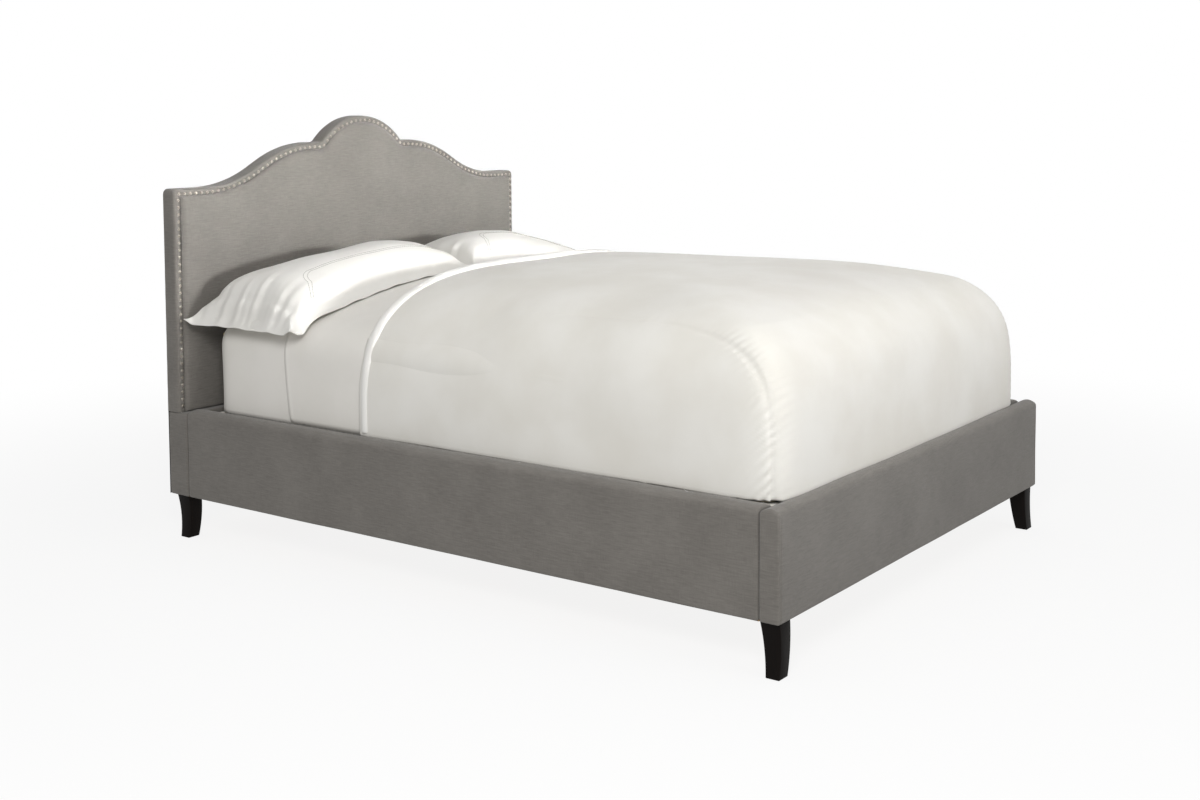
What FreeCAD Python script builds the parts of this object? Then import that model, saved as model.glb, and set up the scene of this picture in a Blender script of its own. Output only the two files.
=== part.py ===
import FreeCAD, Part
import math
import os

from FreeCAD import Vector

# An upholstered queen bed with a camelback headboard, nailhead trim, a box foundation, a mattress
# and its bedding.  Millimetres, +Z up.  The origin is the centre of the footprint on the floor,
# +Y points to the headboard, and left is -X, as seen from the foot of the bed.

# ---- driving dimensions -------------------------------------------------------------------------
BED_W = 1680.0           # over headboard, rails and footboard
BED_L = 2230.0           # footboard's face to the back of the headboard
FRAME_Z0 = 137.0         # underside of the upholstered frame, top of the legs
FRAME_Z1 = 404.0         # top of the headboard's base block
CROWN_RISE = 12.0        # padded tops of rails and footboard rise this much above FRAME_Z1
CROWN_START = 4.0        # and their curve starts this much below it
PAD_T = 8.0              # foam and cloth over the wooden cores

FOOT_T = 58.0            # footboard, front to back
RAIL_T = 74.0            # side rail, outside to inside
BASE_T = 92.0            # headboard's base block, front to back
HEAD_T = 57.0            # headboard above the block, back to the border's front

# camelback outline, half of it, as heights and radii
CORNER_Z = 1115.0
SHOULDER_Z = 1250.0
CROWN_Z = 1340.0
CROWN_R = 266.0
CROWN_FILLET_R = 25.0
SWEEP_R = 470.0          # radius of both arcs between corner and shoulder
SWEEP_ANGLE = math.radians(28.0)
SWEEP_START_X = 722.0    # where the flat corner ends
SWEEP_MIDDLE = 53.0      # straight run between the two arcs
CORNER_R = 18.0

BORDER_W = 24.0          # visible border outside the padded field
FIELD_RISE = 10.0        # the field stands this far in front of the border
FIELD_GAP = 1.0          # groove between the border and the field
SHARPEST_R = 3.0         # no corner of the outline gets a smaller radius when it is moved inwards
PLY_T = 18.0
POST_W = 60.0
POST_INSET = 12.0        # posts stand this far inside the outline
POST_TOP_Z = 1085.0
STRETCHER_LOW_H = 80.0
STRETCHER_HIGH_Z = 1045.0
STRETCHER_HIGH_H = 60.0
BACK_SHEET_T = 2.0

NAIL_INSET = 16.0        # nail line, in from the outline
NAIL_PITCH = 22.5
NAIL_R = 5.5
NAIL_RISE = 3.2
NAIL_LOW_Z = 424.0

WOOD_SCREW = (2.0, 4.0)  # radius of the shank and of the head
SCREW_HEAD_T = 2.0
PANEL_SCREW_L = 32.0
SLAT_SCREW_L = 35.0
HOOK_SCREW_L = 40.0
CENTRE_SCREW_L = 50.0
CENTRE_SCREW = (2.5, 5.0)

LEG_PLATE_T = 3.0
LEG_PLATE_W = 44.0
LEG_BOLT_R = 4.0
LEG_BOLT_L = 70.0
LEG_BOLT_GAP = 0.5       # radial room between a bolt and its plate
LEG_TOP_Z = FRAME_Z0 - LEG_PLATE_T
LEG_OUT_TOP = 820.0      # leg's outer face, from the centre line, at the top, the waist and the floor
LEG_OUT_WAIST = 816.0
LEG_OUT_SOLE = 827.0
LEG_IN_TOP = 768.0
LEG_IN_WAIST = 770.0
LEG_IN_SOLE = 785.0
LEG_SOLE = 38.0          # its depth, front to back, at the floor and at the top
LEG_TOP = 55.0

HOOK_PLATE_T = 2.0
HOOK_PLATE_W = 40.0
HOOK_PLATE_Z = (190.0, 350.0)
HOOK_T = 3.0
HOOK_H = 22.0
HOOK_REACH = 18.0        # how far it stands out of the plate
HOOK_TIP = 5.0           # thickness of the part that turns down
HOOK_DROP = 10.0
HOOK_ZS = (220.0, 305.0)
HOOK_SLOT_ROOM = (1.5, 5.0, 2.0)   # about the hooks: beside, above and below, and at the end
HOOK_SCREW = (2.2, 4.2)
HOOK_SCREW_X = 12.0
HOOK_SCREW_ZS = (200.0, 340.0)
RAIL_COVER_GAP = 0.5     # at each end of a side rail's cover

SLAT_COUNT = 5
SLAT_END_INSET = 150.0   # first and last slat, from the footboard and the headboard's base
SLAT_END_GAP = 3.0       # between a slat's end and the rail
SLAT_SCREW_Y = 25.0
SLAT_W = 90.0
SLAT_T = 20.0
SLAT_TOP_Z = 180.0
CLEAT_H = 22.0
CLEAT_W = 30.0
CLEAT_END_GAP = 30.0
CENTRE_LEG_SLATS = (2, 3, 4)
CENTRE_LEG_W = 40.0
LEVELLER_TRAVEL = 15.0
LEVELLER_DISC_T = 8.0
LEVELLER_DISC_R = 16.0
LEVELLER_STEM_R = 4.0
LEVELLER_STEM_L = 30.0
LEVELLER_GAP = 0.3       # radial room between the stem and its bore
LEVELLER_END_GAP = 1.0   # left over when the foot is screwed right in
CENTRE_SCREW_X = 10.0

FOUNDATION_W = 1520.0
FOUNDATION_L = 2030.0
FOUNDATION_SKIN_T = 4.0
FOUNDATION_LIFT = 1.0    # it lies this far above the slats, and this far below FRAME_Z1
FOUNDATION_BOARD_T = 20.0
FOUNDATION_SLATS = 9
FOUNDATION_SLAT_W = 100.0
DUST_SHEET_T = 2.0
BEDDING_FOOT_Y = -1050.0 # foot end of the foundation and the mattress
MATTRESS_W = 1524.0
MATTRESS_L = 2032.0
MATTRESS_CORNER_R = 70.0 # its corners, seen from above
PLAN_SPARE = 1.5         # the rounding block stands this far clear of the flat sides
MATTRESS_SIDE_Z = 608.0  # top of its upright sides
MATTRESS_BEND = (24.0, 666.0)      # middle of the rounded shoulder: in from the side, and height
MATTRESS_SHOULDER = (80.0, 692.0)  # where the shoulder meets the crowned top
MATTRESS_END_Z = 600.0   # the same three at the foot and head ends
MATTRESS_END_BEND = (24.0, 672.0)
MATTRESS_END_SHOULDER = (90.0, 712.0)
MATTRESS_CROWN_Z = 815.0
MATTRESS_SKIN_T = 6.0
SHEET_T = 2.0
HEM_CLEARANCE = 5.0      # between the padded rails and the hems of the top sheet and the duvet
CREST_CLEARANCE = 15.0   # a side view stands this far above the crown, so that the two don't touch
DUVET_GAP = 1.5          # between the top sheet and the duvet, or a pillow
PILLOW_GAP = 1.0
DUVET_HALF_W = 790.0
DUVET_TOP_Z = 890.0
DUVET_HEAD_Y = 308.0
DUVET_FOOT_Y = -1085.0
DUVET_SIDE_Z = 560.0     # top of its upright sides
DUVET_BEND = (42.0, 714.0)         # middle of its shoulder: in from the side, and height
DUVET_SHOULDER = (156.0, 810.0)    # where the shoulder meets the crowned top
DUVET_END_Z = 570.0      # the same at its foot end, which is rounder
DUVET_END_BEND = (27.0, 675.0)
DUVET_END_SHOULDER = (110.0, 770.0)
DUVET_TOP_BEND = (525.0, 872.0)
DUVET_CREST_IN = 1025.0  # from its foot to its highest place
TOP_SHEET_HEAD_Y = 648.0

# ---- places that follow -------------------------------------------------------------------------
HALF_W = BED_W / 2
BACK_Y = BED_L / 2
FRONT_Y = -BED_L / 2
FOOT_IN_Y = FRONT_Y + FOOT_T
BASE_IN_Y = BACK_Y - BASE_T
BORDER_Y = BACK_Y - HEAD_T
FIELD_Y = BORDER_Y - FIELD_RISE
SHEET_Y = BACK_Y - BACK_SHEET_T
POST_Y = SHEET_Y - PLY_T
PANEL_Y = POST_Y - PLY_T
RAIL_IN_X = HALF_W - RAIL_T
RAIL_X = HALF_W - RAIL_T / 2
CROWN_TOP_Z = FRAME_Z1 + CROWN_RISE
CORE_TOP_Z = FRAME_Z1 - PAD_T
SLAT_Z0 = SLAT_TOP_Z - SLAT_T
HEM_Z = CROWN_TOP_Z + HEM_CLEARANCE
MATTRESS_HEAD_Y = BEDDING_FOOT_Y + MATTRESS_L
SIDES = {"left": -1, "right": 1}


def save(shape, node):
    shape.exportStep("parts/" + node + ".step")


def block(x0, x1, y0, y1, z0, z1):
    return Part.makeBox(x1 - x0, y1 - y0, z1 - z0, Vector(x0, y0, z0))


def mirrored(shape):
    return shape.mirror(Vector(0, 0, 0), Vector(1, 0, 0))


def on_side(shape, side):
    """A shape drawn at +X, moved to the side asked for."""
    return shape if side > 0 else mirrored(shape)


def line(a, b):
    return Part.LineSegment(a, b).toShape()


def arc(a, middle, b):
    return Part.Arc(a, middle, b).toShape()


def path_edges(start, steps):
    """Edges from start through steps, each a (point,) for a line or (middle, point) for an arc."""
    edges = []
    here = start
    for step in steps:
        if len(step) == 1:
            edges.append(line(here, step[0]))
        else:
            edges.append(arc(here, step[0], step[1]))
        here = step[-1]
    return edges


def prism_y(edges, y0, y1):
    """A closed outline in the XZ plane, carried from y0 to y1."""
    face = Part.Face(Part.Wire(edges))
    face.translate(Vector(0, y0, 0))
    return face.extrude(Vector(0, y1 - y0, 0))


def prism_x(edges, x0, x1):
    """A closed outline in the YZ plane, carried from x0 to x1."""
    face = Part.Face(Part.Wire(edges))
    face.translate(Vector(x0, 0, 0))
    return face.extrude(Vector(x1 - x0, 0, 0))


def polar(centre, radius, angle):
    """The point of a circle in the XZ plane, its angle counted from +X towards +Z."""
    return centre + Vector(radius * math.cos(angle), 0, radius * math.sin(angle))


def arc_step(centre, radius, from_angle, to_angle):
    return (polar(centre, radius, (from_angle + to_angle) / 2), polar(centre, radius, to_angle))


# ---- headboard ----------------------------------------------------------------------------------
def camelback_steps(inset):
    """The right half of the headboard's outline above the base, from the side up to the apex."""
    side_x = HALF_W - inset
    corner_r = max(CORNER_R - inset, SHARPEST_R)
    corner = Vector(side_x - corner_r, 0, CORNER_Z - inset - corner_r)
    low = Vector(SWEEP_START_X, 0, CORNER_Z + SWEEP_R)
    run = Vector(-SWEEP_MIDDLE * math.cos(SWEEP_ANGLE), 0, SWEEP_MIDDLE * math.sin(SWEEP_ANGLE))
    up = math.pi / 2
    low_end = polar(low, SWEEP_R, -up - SWEEP_ANGLE)
    out = (low_end - low).normalize()
    high = low_end + run + out * SWEEP_R
    crown = Vector(0, 0, CROWN_Z - CROWN_R)
    reach = CROWN_R + CROWN_FILLET_R
    lift = SHOULDER_Z + CROWN_FILLET_R - crown.z
    tilt = math.asin(lift / reach)
    fillet = crown + Vector(reach * math.cos(tilt), 0, lift)
    convex_r = SWEEP_R - inset
    concave_r = SWEEP_R + inset
    fillet_r = CROWN_FILLET_R + inset
    steps = [(polar(corner, corner_r, 0),)]
    steps.append(arc_step(corner, corner_r, 0, up))
    steps.append((polar(low, concave_r, -up),))
    steps.append(arc_step(low, concave_r, -up, -up - SWEEP_ANGLE))
    steps.append((polar(high, convex_r, up - SWEEP_ANGLE),))
    steps.append(arc_step(high, convex_r, up - SWEEP_ANGLE, up))
    steps.append((polar(fillet, fillet_r, -up),))
    steps.append(arc_step(fillet, fillet_r, -up, tilt - math.pi))
    steps.append(arc_step(crown, CROWN_R - inset, tilt, up))
    return steps


def camelback_path(inset, bottom_z):
    """Open edges from the bottom of the right side, over the crown, to the bottom of the left."""
    foot = Vector(HALF_W - inset, 0, bottom_z)
    right = path_edges(foot, camelback_steps(inset))
    left = [mirrored(edge) for edge in reversed(right)]
    return right + left


def camelback(inset, y0, y1, bottom_z=FRAME_Z1):
    foot = Vector(HALF_W - inset, 0, bottom_z)
    other_foot = Vector(-foot.x, 0, bottom_z)
    edges = camelback_path(inset, bottom_z) + [line(other_foot, foot)]
    return prism_y(Part.sortEdges(edges)[0], y0, y1)


def headboard_panel():
    return camelback(PAD_T, PANEL_Y, POST_Y)


def headboard_border():
    rim = camelback(0.0, BORDER_Y, SHEET_Y)
    rim = rim.cut(camelback(PAD_T, PANEL_Y, SHEET_Y))
    return rim.cut(camelback(BORDER_W, BORDER_Y, PANEL_Y))


def headboard_field():
    return camelback(BORDER_W + FIELD_GAP, FIELD_Y, PANEL_Y)


def headboard_post(side):
    outer_x = HALF_W - POST_INSET
    post = block(outer_x - POST_W, outer_x, POST_Y, SHEET_Y, FRAME_Z0, POST_TOP_Z)
    return on_side(post, side)


def headboard_stretcher(z0, height):
    reach = HALF_W - POST_INSET - POST_W
    return block(-reach, reach, POST_Y, SHEET_Y, z0, z0 + height)


def headboard_base_core():
    core_x = HALF_W - PAD_T
    return block(-core_x, core_x, BASE_IN_Y + PAD_T, POST_Y, FRAME_Z0, CORE_TOP_Z)


def headboard_base_cover():
    outer = block(-HALF_W, HALF_W, BASE_IN_Y, SHEET_Y, FRAME_Z0, FRAME_Z1)
    core_x = HALF_W - PAD_T
    inner = block(-core_x, core_x, BASE_IN_Y + PAD_T, SHEET_Y, FRAME_Z0, CORE_TOP_Z)
    way_x = HALF_W - POST_INSET
    post_way = block(-way_x, way_x, POST_Y, SHEET_Y, CORE_TOP_Z, FRAME_Z1)
    return outer.cut(inner).cut(post_way)


def headboard_back_sheet():
    upper = camelback(0.0, SHEET_Y, BACK_Y)
    lower = block(-HALF_W, HALF_W, SHEET_Y, BACK_Y, FRAME_Z0, FRAME_Z1)
    return upper.fuse(lower).removeSplitter()


def nail_points():
    trim = Part.Wire(Part.sortEdges(camelback_path(NAIL_INSET, NAIL_LOW_Z))[0])
    count = round(trim.Length / NAIL_PITCH) + 1
    return trim.discretize(Number=count)


def nailhead_trim():
    """Shallow domes whose flat backs lie on the border's front face."""
    sphere_r = (NAIL_R ** 2 + NAIL_RISE ** 2) / (2 * NAIL_RISE)
    cap_angle = math.degrees(math.asin((sphere_r - NAIL_RISE) / sphere_r))
    dome = Part.makeSphere(sphere_r, Vector(0, 0, 0), Vector(0, 0, 1), cap_angle, 90, 360)
    dome.translate(Vector(0, 0, NAIL_RISE - sphere_r))
    dome.rotate(Vector(0, 0, 0), Vector(1, 0, 0), 90)
    nails = []
    for point in nail_points():
        nail = dome.copy()
        nail.translate(Vector(point.x, BORDER_Y, point.z))
        nails.append(nail)
    return Part.makeCompound(nails)


def screw(at, axis, length, radius, head_r):
    """A flat-headed screw: its head's outer face is at the point given."""
    head = Part.makeCylinder(head_r, SCREW_HEAD_T, at, axis)
    shank = Part.makeCylinder(radius, length, at, axis)
    return head.fuse(shank).removeSplitter()


def panel_screws():
    """Screws through the plywood into the posts and the stretchers."""
    post_x = HALF_W - POST_INSET - POST_W / 2
    stretcher_z = STRETCHER_HIGH_Z + STRETCHER_HIGH_H / 2
    places = [(x, z) for z in (460.0, 620.0, 780.0, 940.0, 1060.0) for x in (-post_x, post_x)]
    places += [(x, stretcher_z) for x in (-500.0, -170.0, 170.0, 500.0)]
    back = Vector(0, 1, 0)
    screws = [screw(Vector(x, PANEL_Y, z), back, PANEL_SCREW_L, *WOOD_SCREW) for x, z in places]
    return Part.makeCompound(screws)


# ---- rails and footboard ------------------------------------------------------------------------
def crowned_section(outer, inner, low_z, edge_z, crown_z, along_y):
    """A post-like section whose top is one arc, between two places across its thickness."""
    middle = (outer + inner) / 2
    place = (lambda v, z: Vector(0, v, z)) if along_y else (lambda v, z: Vector(v, 0, z))
    start = place(outer, low_z)
    steps = [(place(outer, edge_z),)]
    steps.append((place(middle, crown_z), place(inner, edge_z)))
    steps.append((place(inner, low_z),))
    steps.append((start,))
    return path_edges(start, steps)


def side_rail_core(side):
    core = block(RAIL_IN_X + PAD_T, HALF_W - PAD_T, FOOT_IN_Y + HOOK_PLATE_T,
                 BASE_IN_Y - HOOK_PLATE_T, FRAME_Z0, CORE_TOP_Z)
    return on_side(core, side)


def side_rail_cover(side):
    section = crowned_section(HALF_W, RAIL_IN_X, FRAME_Z0, FRAME_Z1 - CROWN_START, CROWN_TOP_Z, False)
    skin = prism_y(section, FOOT_IN_Y + RAIL_COVER_GAP, BASE_IN_Y - RAIL_COVER_GAP)
    hollow = block(RAIL_IN_X + PAD_T, HALF_W - PAD_T, FOOT_IN_Y, BASE_IN_Y, FRAME_Z0, CORE_TOP_Z)
    return on_side(skin.cut(hollow), side)


def slat_cleat(side):
    cleat = block(RAIL_IN_X - CLEAT_W, RAIL_IN_X, FOOT_IN_Y + CLEAT_END_GAP,
                  BASE_IN_Y - CLEAT_END_GAP, SLAT_Z0 - CLEAT_H, SLAT_Z0)
    return on_side(cleat, side)


def footboard_core():
    core_x = HALF_W - PAD_T
    return block(-core_x, core_x, FRONT_Y + PAD_T, FOOT_IN_Y - PAD_T, FRAME_Z0, CORE_TOP_Z)


def footboard_cover():
    section = crowned_section(FRONT_Y, FOOT_IN_Y, FRAME_Z0, FRAME_Z1 - CROWN_START, CROWN_TOP_Z, True)
    return prism_x(section, -HALF_W, HALF_W).cut(footboard_core())


# ---- legs and frame hardware --------------------------------------------------------------------
def leg(side, sole_y, top_y):
    """A square sabre leg: its outer face is hollow and kicks out at the floor."""
    waist_z = LEG_TOP_Z / 2
    start = Vector(LEG_OUT_TOP, 0, LEG_TOP_Z)
    steps = [(Vector(LEG_OUT_WAIST, 0, waist_z), Vector(LEG_OUT_SOLE, 0, 0))]
    steps.append((Vector(LEG_IN_SOLE, 0, 0),))
    steps.append((Vector(LEG_IN_WAIST, 0, waist_z), Vector(LEG_IN_TOP, 0, LEG_TOP_Z)))
    steps.append((start,))
    across = prism_y(path_edges(start, steps), sole_y - LEG_TOP, top_y + 2 * LEG_TOP)
    corners = [Vector(0, sole_y, 0), Vector(0, sole_y + LEG_SOLE, 0)]
    corners += [Vector(0, top_y + LEG_TOP, LEG_TOP_Z), Vector(0, top_y, LEG_TOP_Z)]
    ring = [line(a, b) for a, b in zip(corners, corners[1:] + corners[:1])]
    along = prism_x(ring, 0.0, 2 * LEG_OUT_SOLE)
    return on_side(across.common(along), side)


FOOT_LEG_Y = (FRONT_Y + 7.5, FRONT_Y + 10.0)    # front of a leg at the floor and at its top
HEAD_LEG_Y = (BASE_IN_Y + 18.5, BASE_IN_Y + 23.0)
LEG_CENTRE_X = (LEG_OUT_TOP + LEG_IN_TOP) / 2


def leg_centres():
    """The middle of each leg's top."""
    places = []
    for _, top_y in (FOOT_LEG_Y, HEAD_LEG_Y):
        for side in SIDES.values():
            places.append(Vector(side * LEG_CENTRE_X, top_y + LEG_TOP / 2, LEG_TOP_Z))
    return places


def leg_plates():
    """A square steel plate between each leg and the frame, bored for the hanger bolt."""
    half = LEG_PLATE_W / 2
    plates = []
    for at in leg_centres():
        plate = block(at.x - half, at.x + half, at.y - half, at.y + half, LEG_TOP_Z, FRAME_Z0)
        plates.append(plate.cut(Part.makeCylinder(LEG_BOLT_R + LEG_BOLT_GAP, LEG_PLATE_T, at)))
    return Part.makeCompound(plates)


def leg_bolts():
    """Hanger bolts, half in the leg and half in the frame."""
    down = Vector(0, 0, LEG_BOLT_L / 2)
    bolts = [Part.makeCylinder(LEG_BOLT_R, LEG_BOLT_L, at - down) for at in leg_centres()]
    return Part.makeCompound(bolts)


def hook_plate(side, end_y, towards):
    """A steel plate on a rail's end, with two hooks that drop into the board it meets."""
    half_w = HOOK_PLATE_W / 2
    half_t = HOOK_T / 2
    back_y = end_y - towards * HOOK_PLATE_T
    tip_y = end_y + towards * HOOK_REACH
    low_y, high_y = sorted((back_y, end_y))
    plate = block(RAIL_X - half_w, RAIL_X + half_w, low_y, high_y, *HOOK_PLATE_Z)
    for z in HOOK_ZS:
        low_y, high_y = sorted((back_y, tip_y))
        plate = plate.fuse(block(RAIL_X - half_t, RAIL_X + half_t, low_y, high_y, z, z + HOOK_H))
        low_y, high_y = sorted((tip_y - towards * HOOK_TIP, tip_y))
        plate = plate.fuse(block(RAIL_X - half_t, RAIL_X + half_t, low_y, high_y, z - HOOK_DROP, z))
    return on_side(plate.removeSplitter(), side)


def hook_slots(end_y, towards):
    """The slots that the hooks enter, both sides of the bed, a little larger than the hooks."""
    beside, above, beyond = HOOK_SLOT_ROOM
    half_t = HOOK_T / 2 + beside
    low_z = HOOK_ZS[0] - HOOK_DROP - above
    high_z = HOOK_ZS[-1] + HOOK_H + above
    low_y, high_y = sorted((end_y, end_y + towards * (HOOK_REACH + beyond)))
    slots = block(RAIL_X - half_t, RAIL_X + half_t, low_y, high_y, low_z, high_z)
    return slots.fuse(mirrored(slots))


def hook_plate_screws():
    """Four screws through each hook plate into its rail."""
    screws = []
    for end_y, towards in ((FOOT_IN_Y, -1), (BASE_IN_Y, 1)):
        for side in SIDES.values():
            for dx in (-HOOK_SCREW_X, HOOK_SCREW_X):
                for z in HOOK_SCREW_ZS:
                    at = Vector(side * (RAIL_X + dx), end_y, z)
                    screws.append(screw(at, Vector(0, -towards, 0), HOOK_SCREW_L, *HOOK_SCREW))
    return Part.makeCompound(screws)


# ---- slats and centre legs ----------------------------------------------------------------------
def slat_y(number):
    first = FOOT_IN_Y + SLAT_END_INSET
    last = BASE_IN_Y - SLAT_END_INSET
    return first + (last - first) * (number - 1) / (SLAT_COUNT - 1)


def slat(number):
    reach = RAIL_IN_X - SLAT_END_GAP
    y = slat_y(number)
    return block(-reach, reach, y - SLAT_W / 2, y + SLAT_W / 2, SLAT_Z0, SLAT_TOP_Z)


def slat_screws():
    screws = []
    for number in range(1, SLAT_COUNT + 1):
        for side in SIDES.values():
            for dy in (-SLAT_SCREW_Y, SLAT_SCREW_Y):
                at = Vector(side * (RAIL_IN_X - CLEAT_W / 2), slat_y(number) + dy, SLAT_TOP_Z)
                screws.append(screw(at, Vector(0, 0, -1), SLAT_SCREW_L, *WOOD_SCREW))
    return Part.makeCompound(screws)


def centre_leg(number):
    """A square leg under the middle of a slat, bored from below for its levelling foot."""
    y = slat_y(number)
    half = CENTRE_LEG_W / 2
    low_z = LEVELLER_DISC_T + LEVELLER_TRAVEL + LEVELLER_END_GAP
    depth = LEVELLER_DISC_T + LEVELLER_STEM_L + LEVELLER_TRAVEL - low_z + 2 * LEVELLER_END_GAP
    post = block(-half, half, y - half, y + half, low_z, SLAT_Z0)
    bore = Part.makeCylinder(LEVELLER_STEM_R + LEVELLER_GAP, depth, Vector(0, y, low_z))
    return post.cut(bore)


def leveller(number):
    """A round foot on a threaded stem, screwed part of the way into its leg."""
    y = slat_y(number)
    disc = Part.makeCylinder(LEVELLER_DISC_R, LEVELLER_DISC_T, Vector(0, y, 0))
    stem = Part.makeCylinder(LEVELLER_STEM_R, LEVELLER_STEM_L, Vector(0, y, LEVELLER_DISC_T))
    return disc.fuse(stem).removeSplitter()


def centre_leg_screws():
    """Two screws down through the slat into each centre leg."""
    screws = []
    for number in CENTRE_LEG_SLATS:
        for dx in (-CENTRE_SCREW_X, CENTRE_SCREW_X):
            at = Vector(dx, slat_y(number), SLAT_TOP_Z)
            screws.append(screw(at, Vector(0, 0, -1), CENTRE_SCREW_L, *CENTRE_SCREW))
    return Part.makeCompound(screws)


# ---- box foundation and mattress ----------------------------------------------------------------
FOUNDATION_Z0 = SLAT_TOP_Z + FOUNDATION_LIFT
FOUNDATION_TOP_Z = FRAME_Z1 - FOUNDATION_LIFT


def foundation_box(inset, z0, z1):
    half = FOUNDATION_W / 2 - inset
    return block(-half, half, BEDDING_FOOT_Y + inset, BEDDING_FOOT_Y + FOUNDATION_L - inset, z0, z1)


def foundation_frame():
    """Separate boards: two sides, two ends, a middle bearer and the slats across the top."""
    board_t = FOUNDATION_BOARD_T
    low_z = FOUNDATION_Z0 + DUST_SHEET_T
    slat_z = FOUNDATION_TOP_Z - FOUNDATION_SKIN_T - board_t
    half = FOUNDATION_W / 2 - FOUNDATION_SKIN_T
    y0 = BEDDING_FOOT_Y + FOUNDATION_SKIN_T
    y1 = BEDDING_FOOT_Y + FOUNDATION_L - FOUNDATION_SKIN_T
    boards = [block(-half, -half + board_t, y0, y1, low_z, slat_z)]
    boards.append(block(half - board_t, half, y0, y1, low_z, slat_z))
    boards.append(block(-half + board_t, half - board_t, y0, y0 + board_t, low_z, slat_z))
    boards.append(block(-half + board_t, half - board_t, y1 - board_t, y1, low_z, slat_z))
    bearer = board_t / 2
    boards.append(block(-bearer, bearer, y0 + board_t, y1 - board_t, low_z, slat_z))
    pitch = (y1 - y0 - FOUNDATION_SLAT_W) / (FOUNDATION_SLATS - 1)
    for index in range(FOUNDATION_SLATS):
        y = y0 + index * pitch
        boards.append(block(-half, half, y, y + FOUNDATION_SLAT_W, slat_z, slat_z + board_t))
    return Part.makeCompound(boards)


def foundation_cover():
    skin_t = FOUNDATION_SKIN_T
    outer = foundation_box(0.0, FOUNDATION_Z0, FOUNDATION_TOP_Z)
    return outer.cut(foundation_box(skin_t, FOUNDATION_Z0, FOUNDATION_TOP_Z - skin_t))


def foundation_dust_sheet():
    return foundation_box(FOUNDATION_SKIN_T, FOUNDATION_Z0, FOUNDATION_Z0 + DUST_SHEET_T)


def bedding_section(grow, low_z):
    """The mattress's section, grown outwards by grow: soft shoulders and a crowned top."""
    half = MATTRESS_W / 2 + grow
    start = Vector(half, 0, low_z)
    side_top = Vector(half, 0, MATTRESS_SIDE_Z)
    bend = Vector(half - MATTRESS_BEND[0], 0, MATTRESS_BEND[1] + grow)
    shoulder = Vector(half - MATTRESS_SHOULDER[0], 0, MATTRESS_SHOULDER[1] + grow)
    crown = Vector(0, 0, MATTRESS_CROWN_Z + grow)
    steps = [(side_top,), (bend, shoulder)]
    steps.append((crown, Vector(-shoulder.x, 0, shoulder.z)))
    steps.append((Vector(-bend.x, 0, bend.z), Vector(-half, 0, side_top.z)))
    steps.append((Vector(-half, 0, low_z),))
    steps.append((start,))
    return path_edges(start, steps)


def bedding_side_view(grow, low_z):
    """The same seen from the side, with both ends rounded over and the middle clear of the crown."""
    foot_y = BEDDING_FOOT_Y - grow
    head_y = MATTRESS_HEAD_Y + grow
    bend_in, bend_z = MATTRESS_END_BEND
    shoulder_in, shoulder_z = MATTRESS_END_SHOULDER
    start = Vector(0, foot_y, low_z)
    steps = [(Vector(0, foot_y, MATTRESS_END_Z),)]
    foot_shoulder = Vector(0, foot_y + shoulder_in, shoulder_z + grow)
    steps.append((Vector(0, foot_y + bend_in, bend_z + grow), foot_shoulder))
    middle = Vector(0, (foot_y + head_y) / 2, MATTRESS_CROWN_Z + grow + CREST_CLEARANCE)
    steps.append((middle, Vector(0, head_y - shoulder_in, shoulder_z + grow)))
    steps.append((Vector(0, head_y - bend_in, bend_z + grow), Vector(0, head_y, MATTRESS_END_Z)))
    steps.append((Vector(0, head_y, low_z),))
    steps.append((start,))
    return path_edges(start, steps)


def rounded_plan(half_x, y0, y1, radius, z0, z1):
    """An upright block whose corners are rounded, seen from above."""
    middle_y = (y0 + y1) / 2
    half_y = (y1 - y0) / 2
    here = Vector(half_x, y0 + radius, z0)
    edges = []
    for turn, (sign_x, sign_y) in enumerate(((1, 1), (-1, 1), (-1, -1), (1, -1))):
        centre = Vector(sign_x * (half_x - radius), middle_y + sign_y * (half_y - radius), z0)
        first = math.pi / 2 * turn
        ends = [centre + Vector(math.cos(a), math.sin(a), 0) * radius
                for a in (first, first + math.pi / 4, first + math.pi / 2)]
        edges.append(line(here, ends[0]))
        edges.append(arc(*ends))
        here = ends[2]
    return Part.Face(Part.Wire(edges)).extrude(Vector(0, 0, z1 - z0))


def bedding_solid(grow, low_z):
    half = MATTRESS_W / 2 + grow
    foot_y = BEDDING_FOOT_Y - grow
    head_y = MATTRESS_HEAD_Y + grow
    across = prism_y(bedding_section(grow, low_z), foot_y, head_y)
    body = across.common(prism_x(bedding_side_view(grow, low_z), -2 * half, 2 * half))
    spare = PLAN_SPARE
    plan = rounded_plan(half + spare, foot_y - spare, head_y + spare, MATTRESS_CORNER_R + grow,
                        low_z - spare, CROWN_Z)
    return body.common(plan)


def mattress_core():
    return bedding_solid(-MATTRESS_SKIN_T, FRAME_Z1)


def mattress_cover():
    return bedding_solid(0.0, FRAME_Z1).cut(mattress_core())


def fitted_sheet():
    hem_z = FRAME_Z1 + SHEET_T
    return bedding_solid(SHEET_T, hem_z).cut(bedding_solid(0.0, FRAME_Z1))


def top_sheet():
    sheet = bedding_solid(2 * SHEET_T, HEM_Z).cut(bedding_solid(SHEET_T, FRAME_Z1))
    return sheet.common(block(-HALF_W, HALF_W, FRONT_Y, TOP_SHEET_HEAD_Y, HEM_Z, CROWN_Z))


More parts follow.
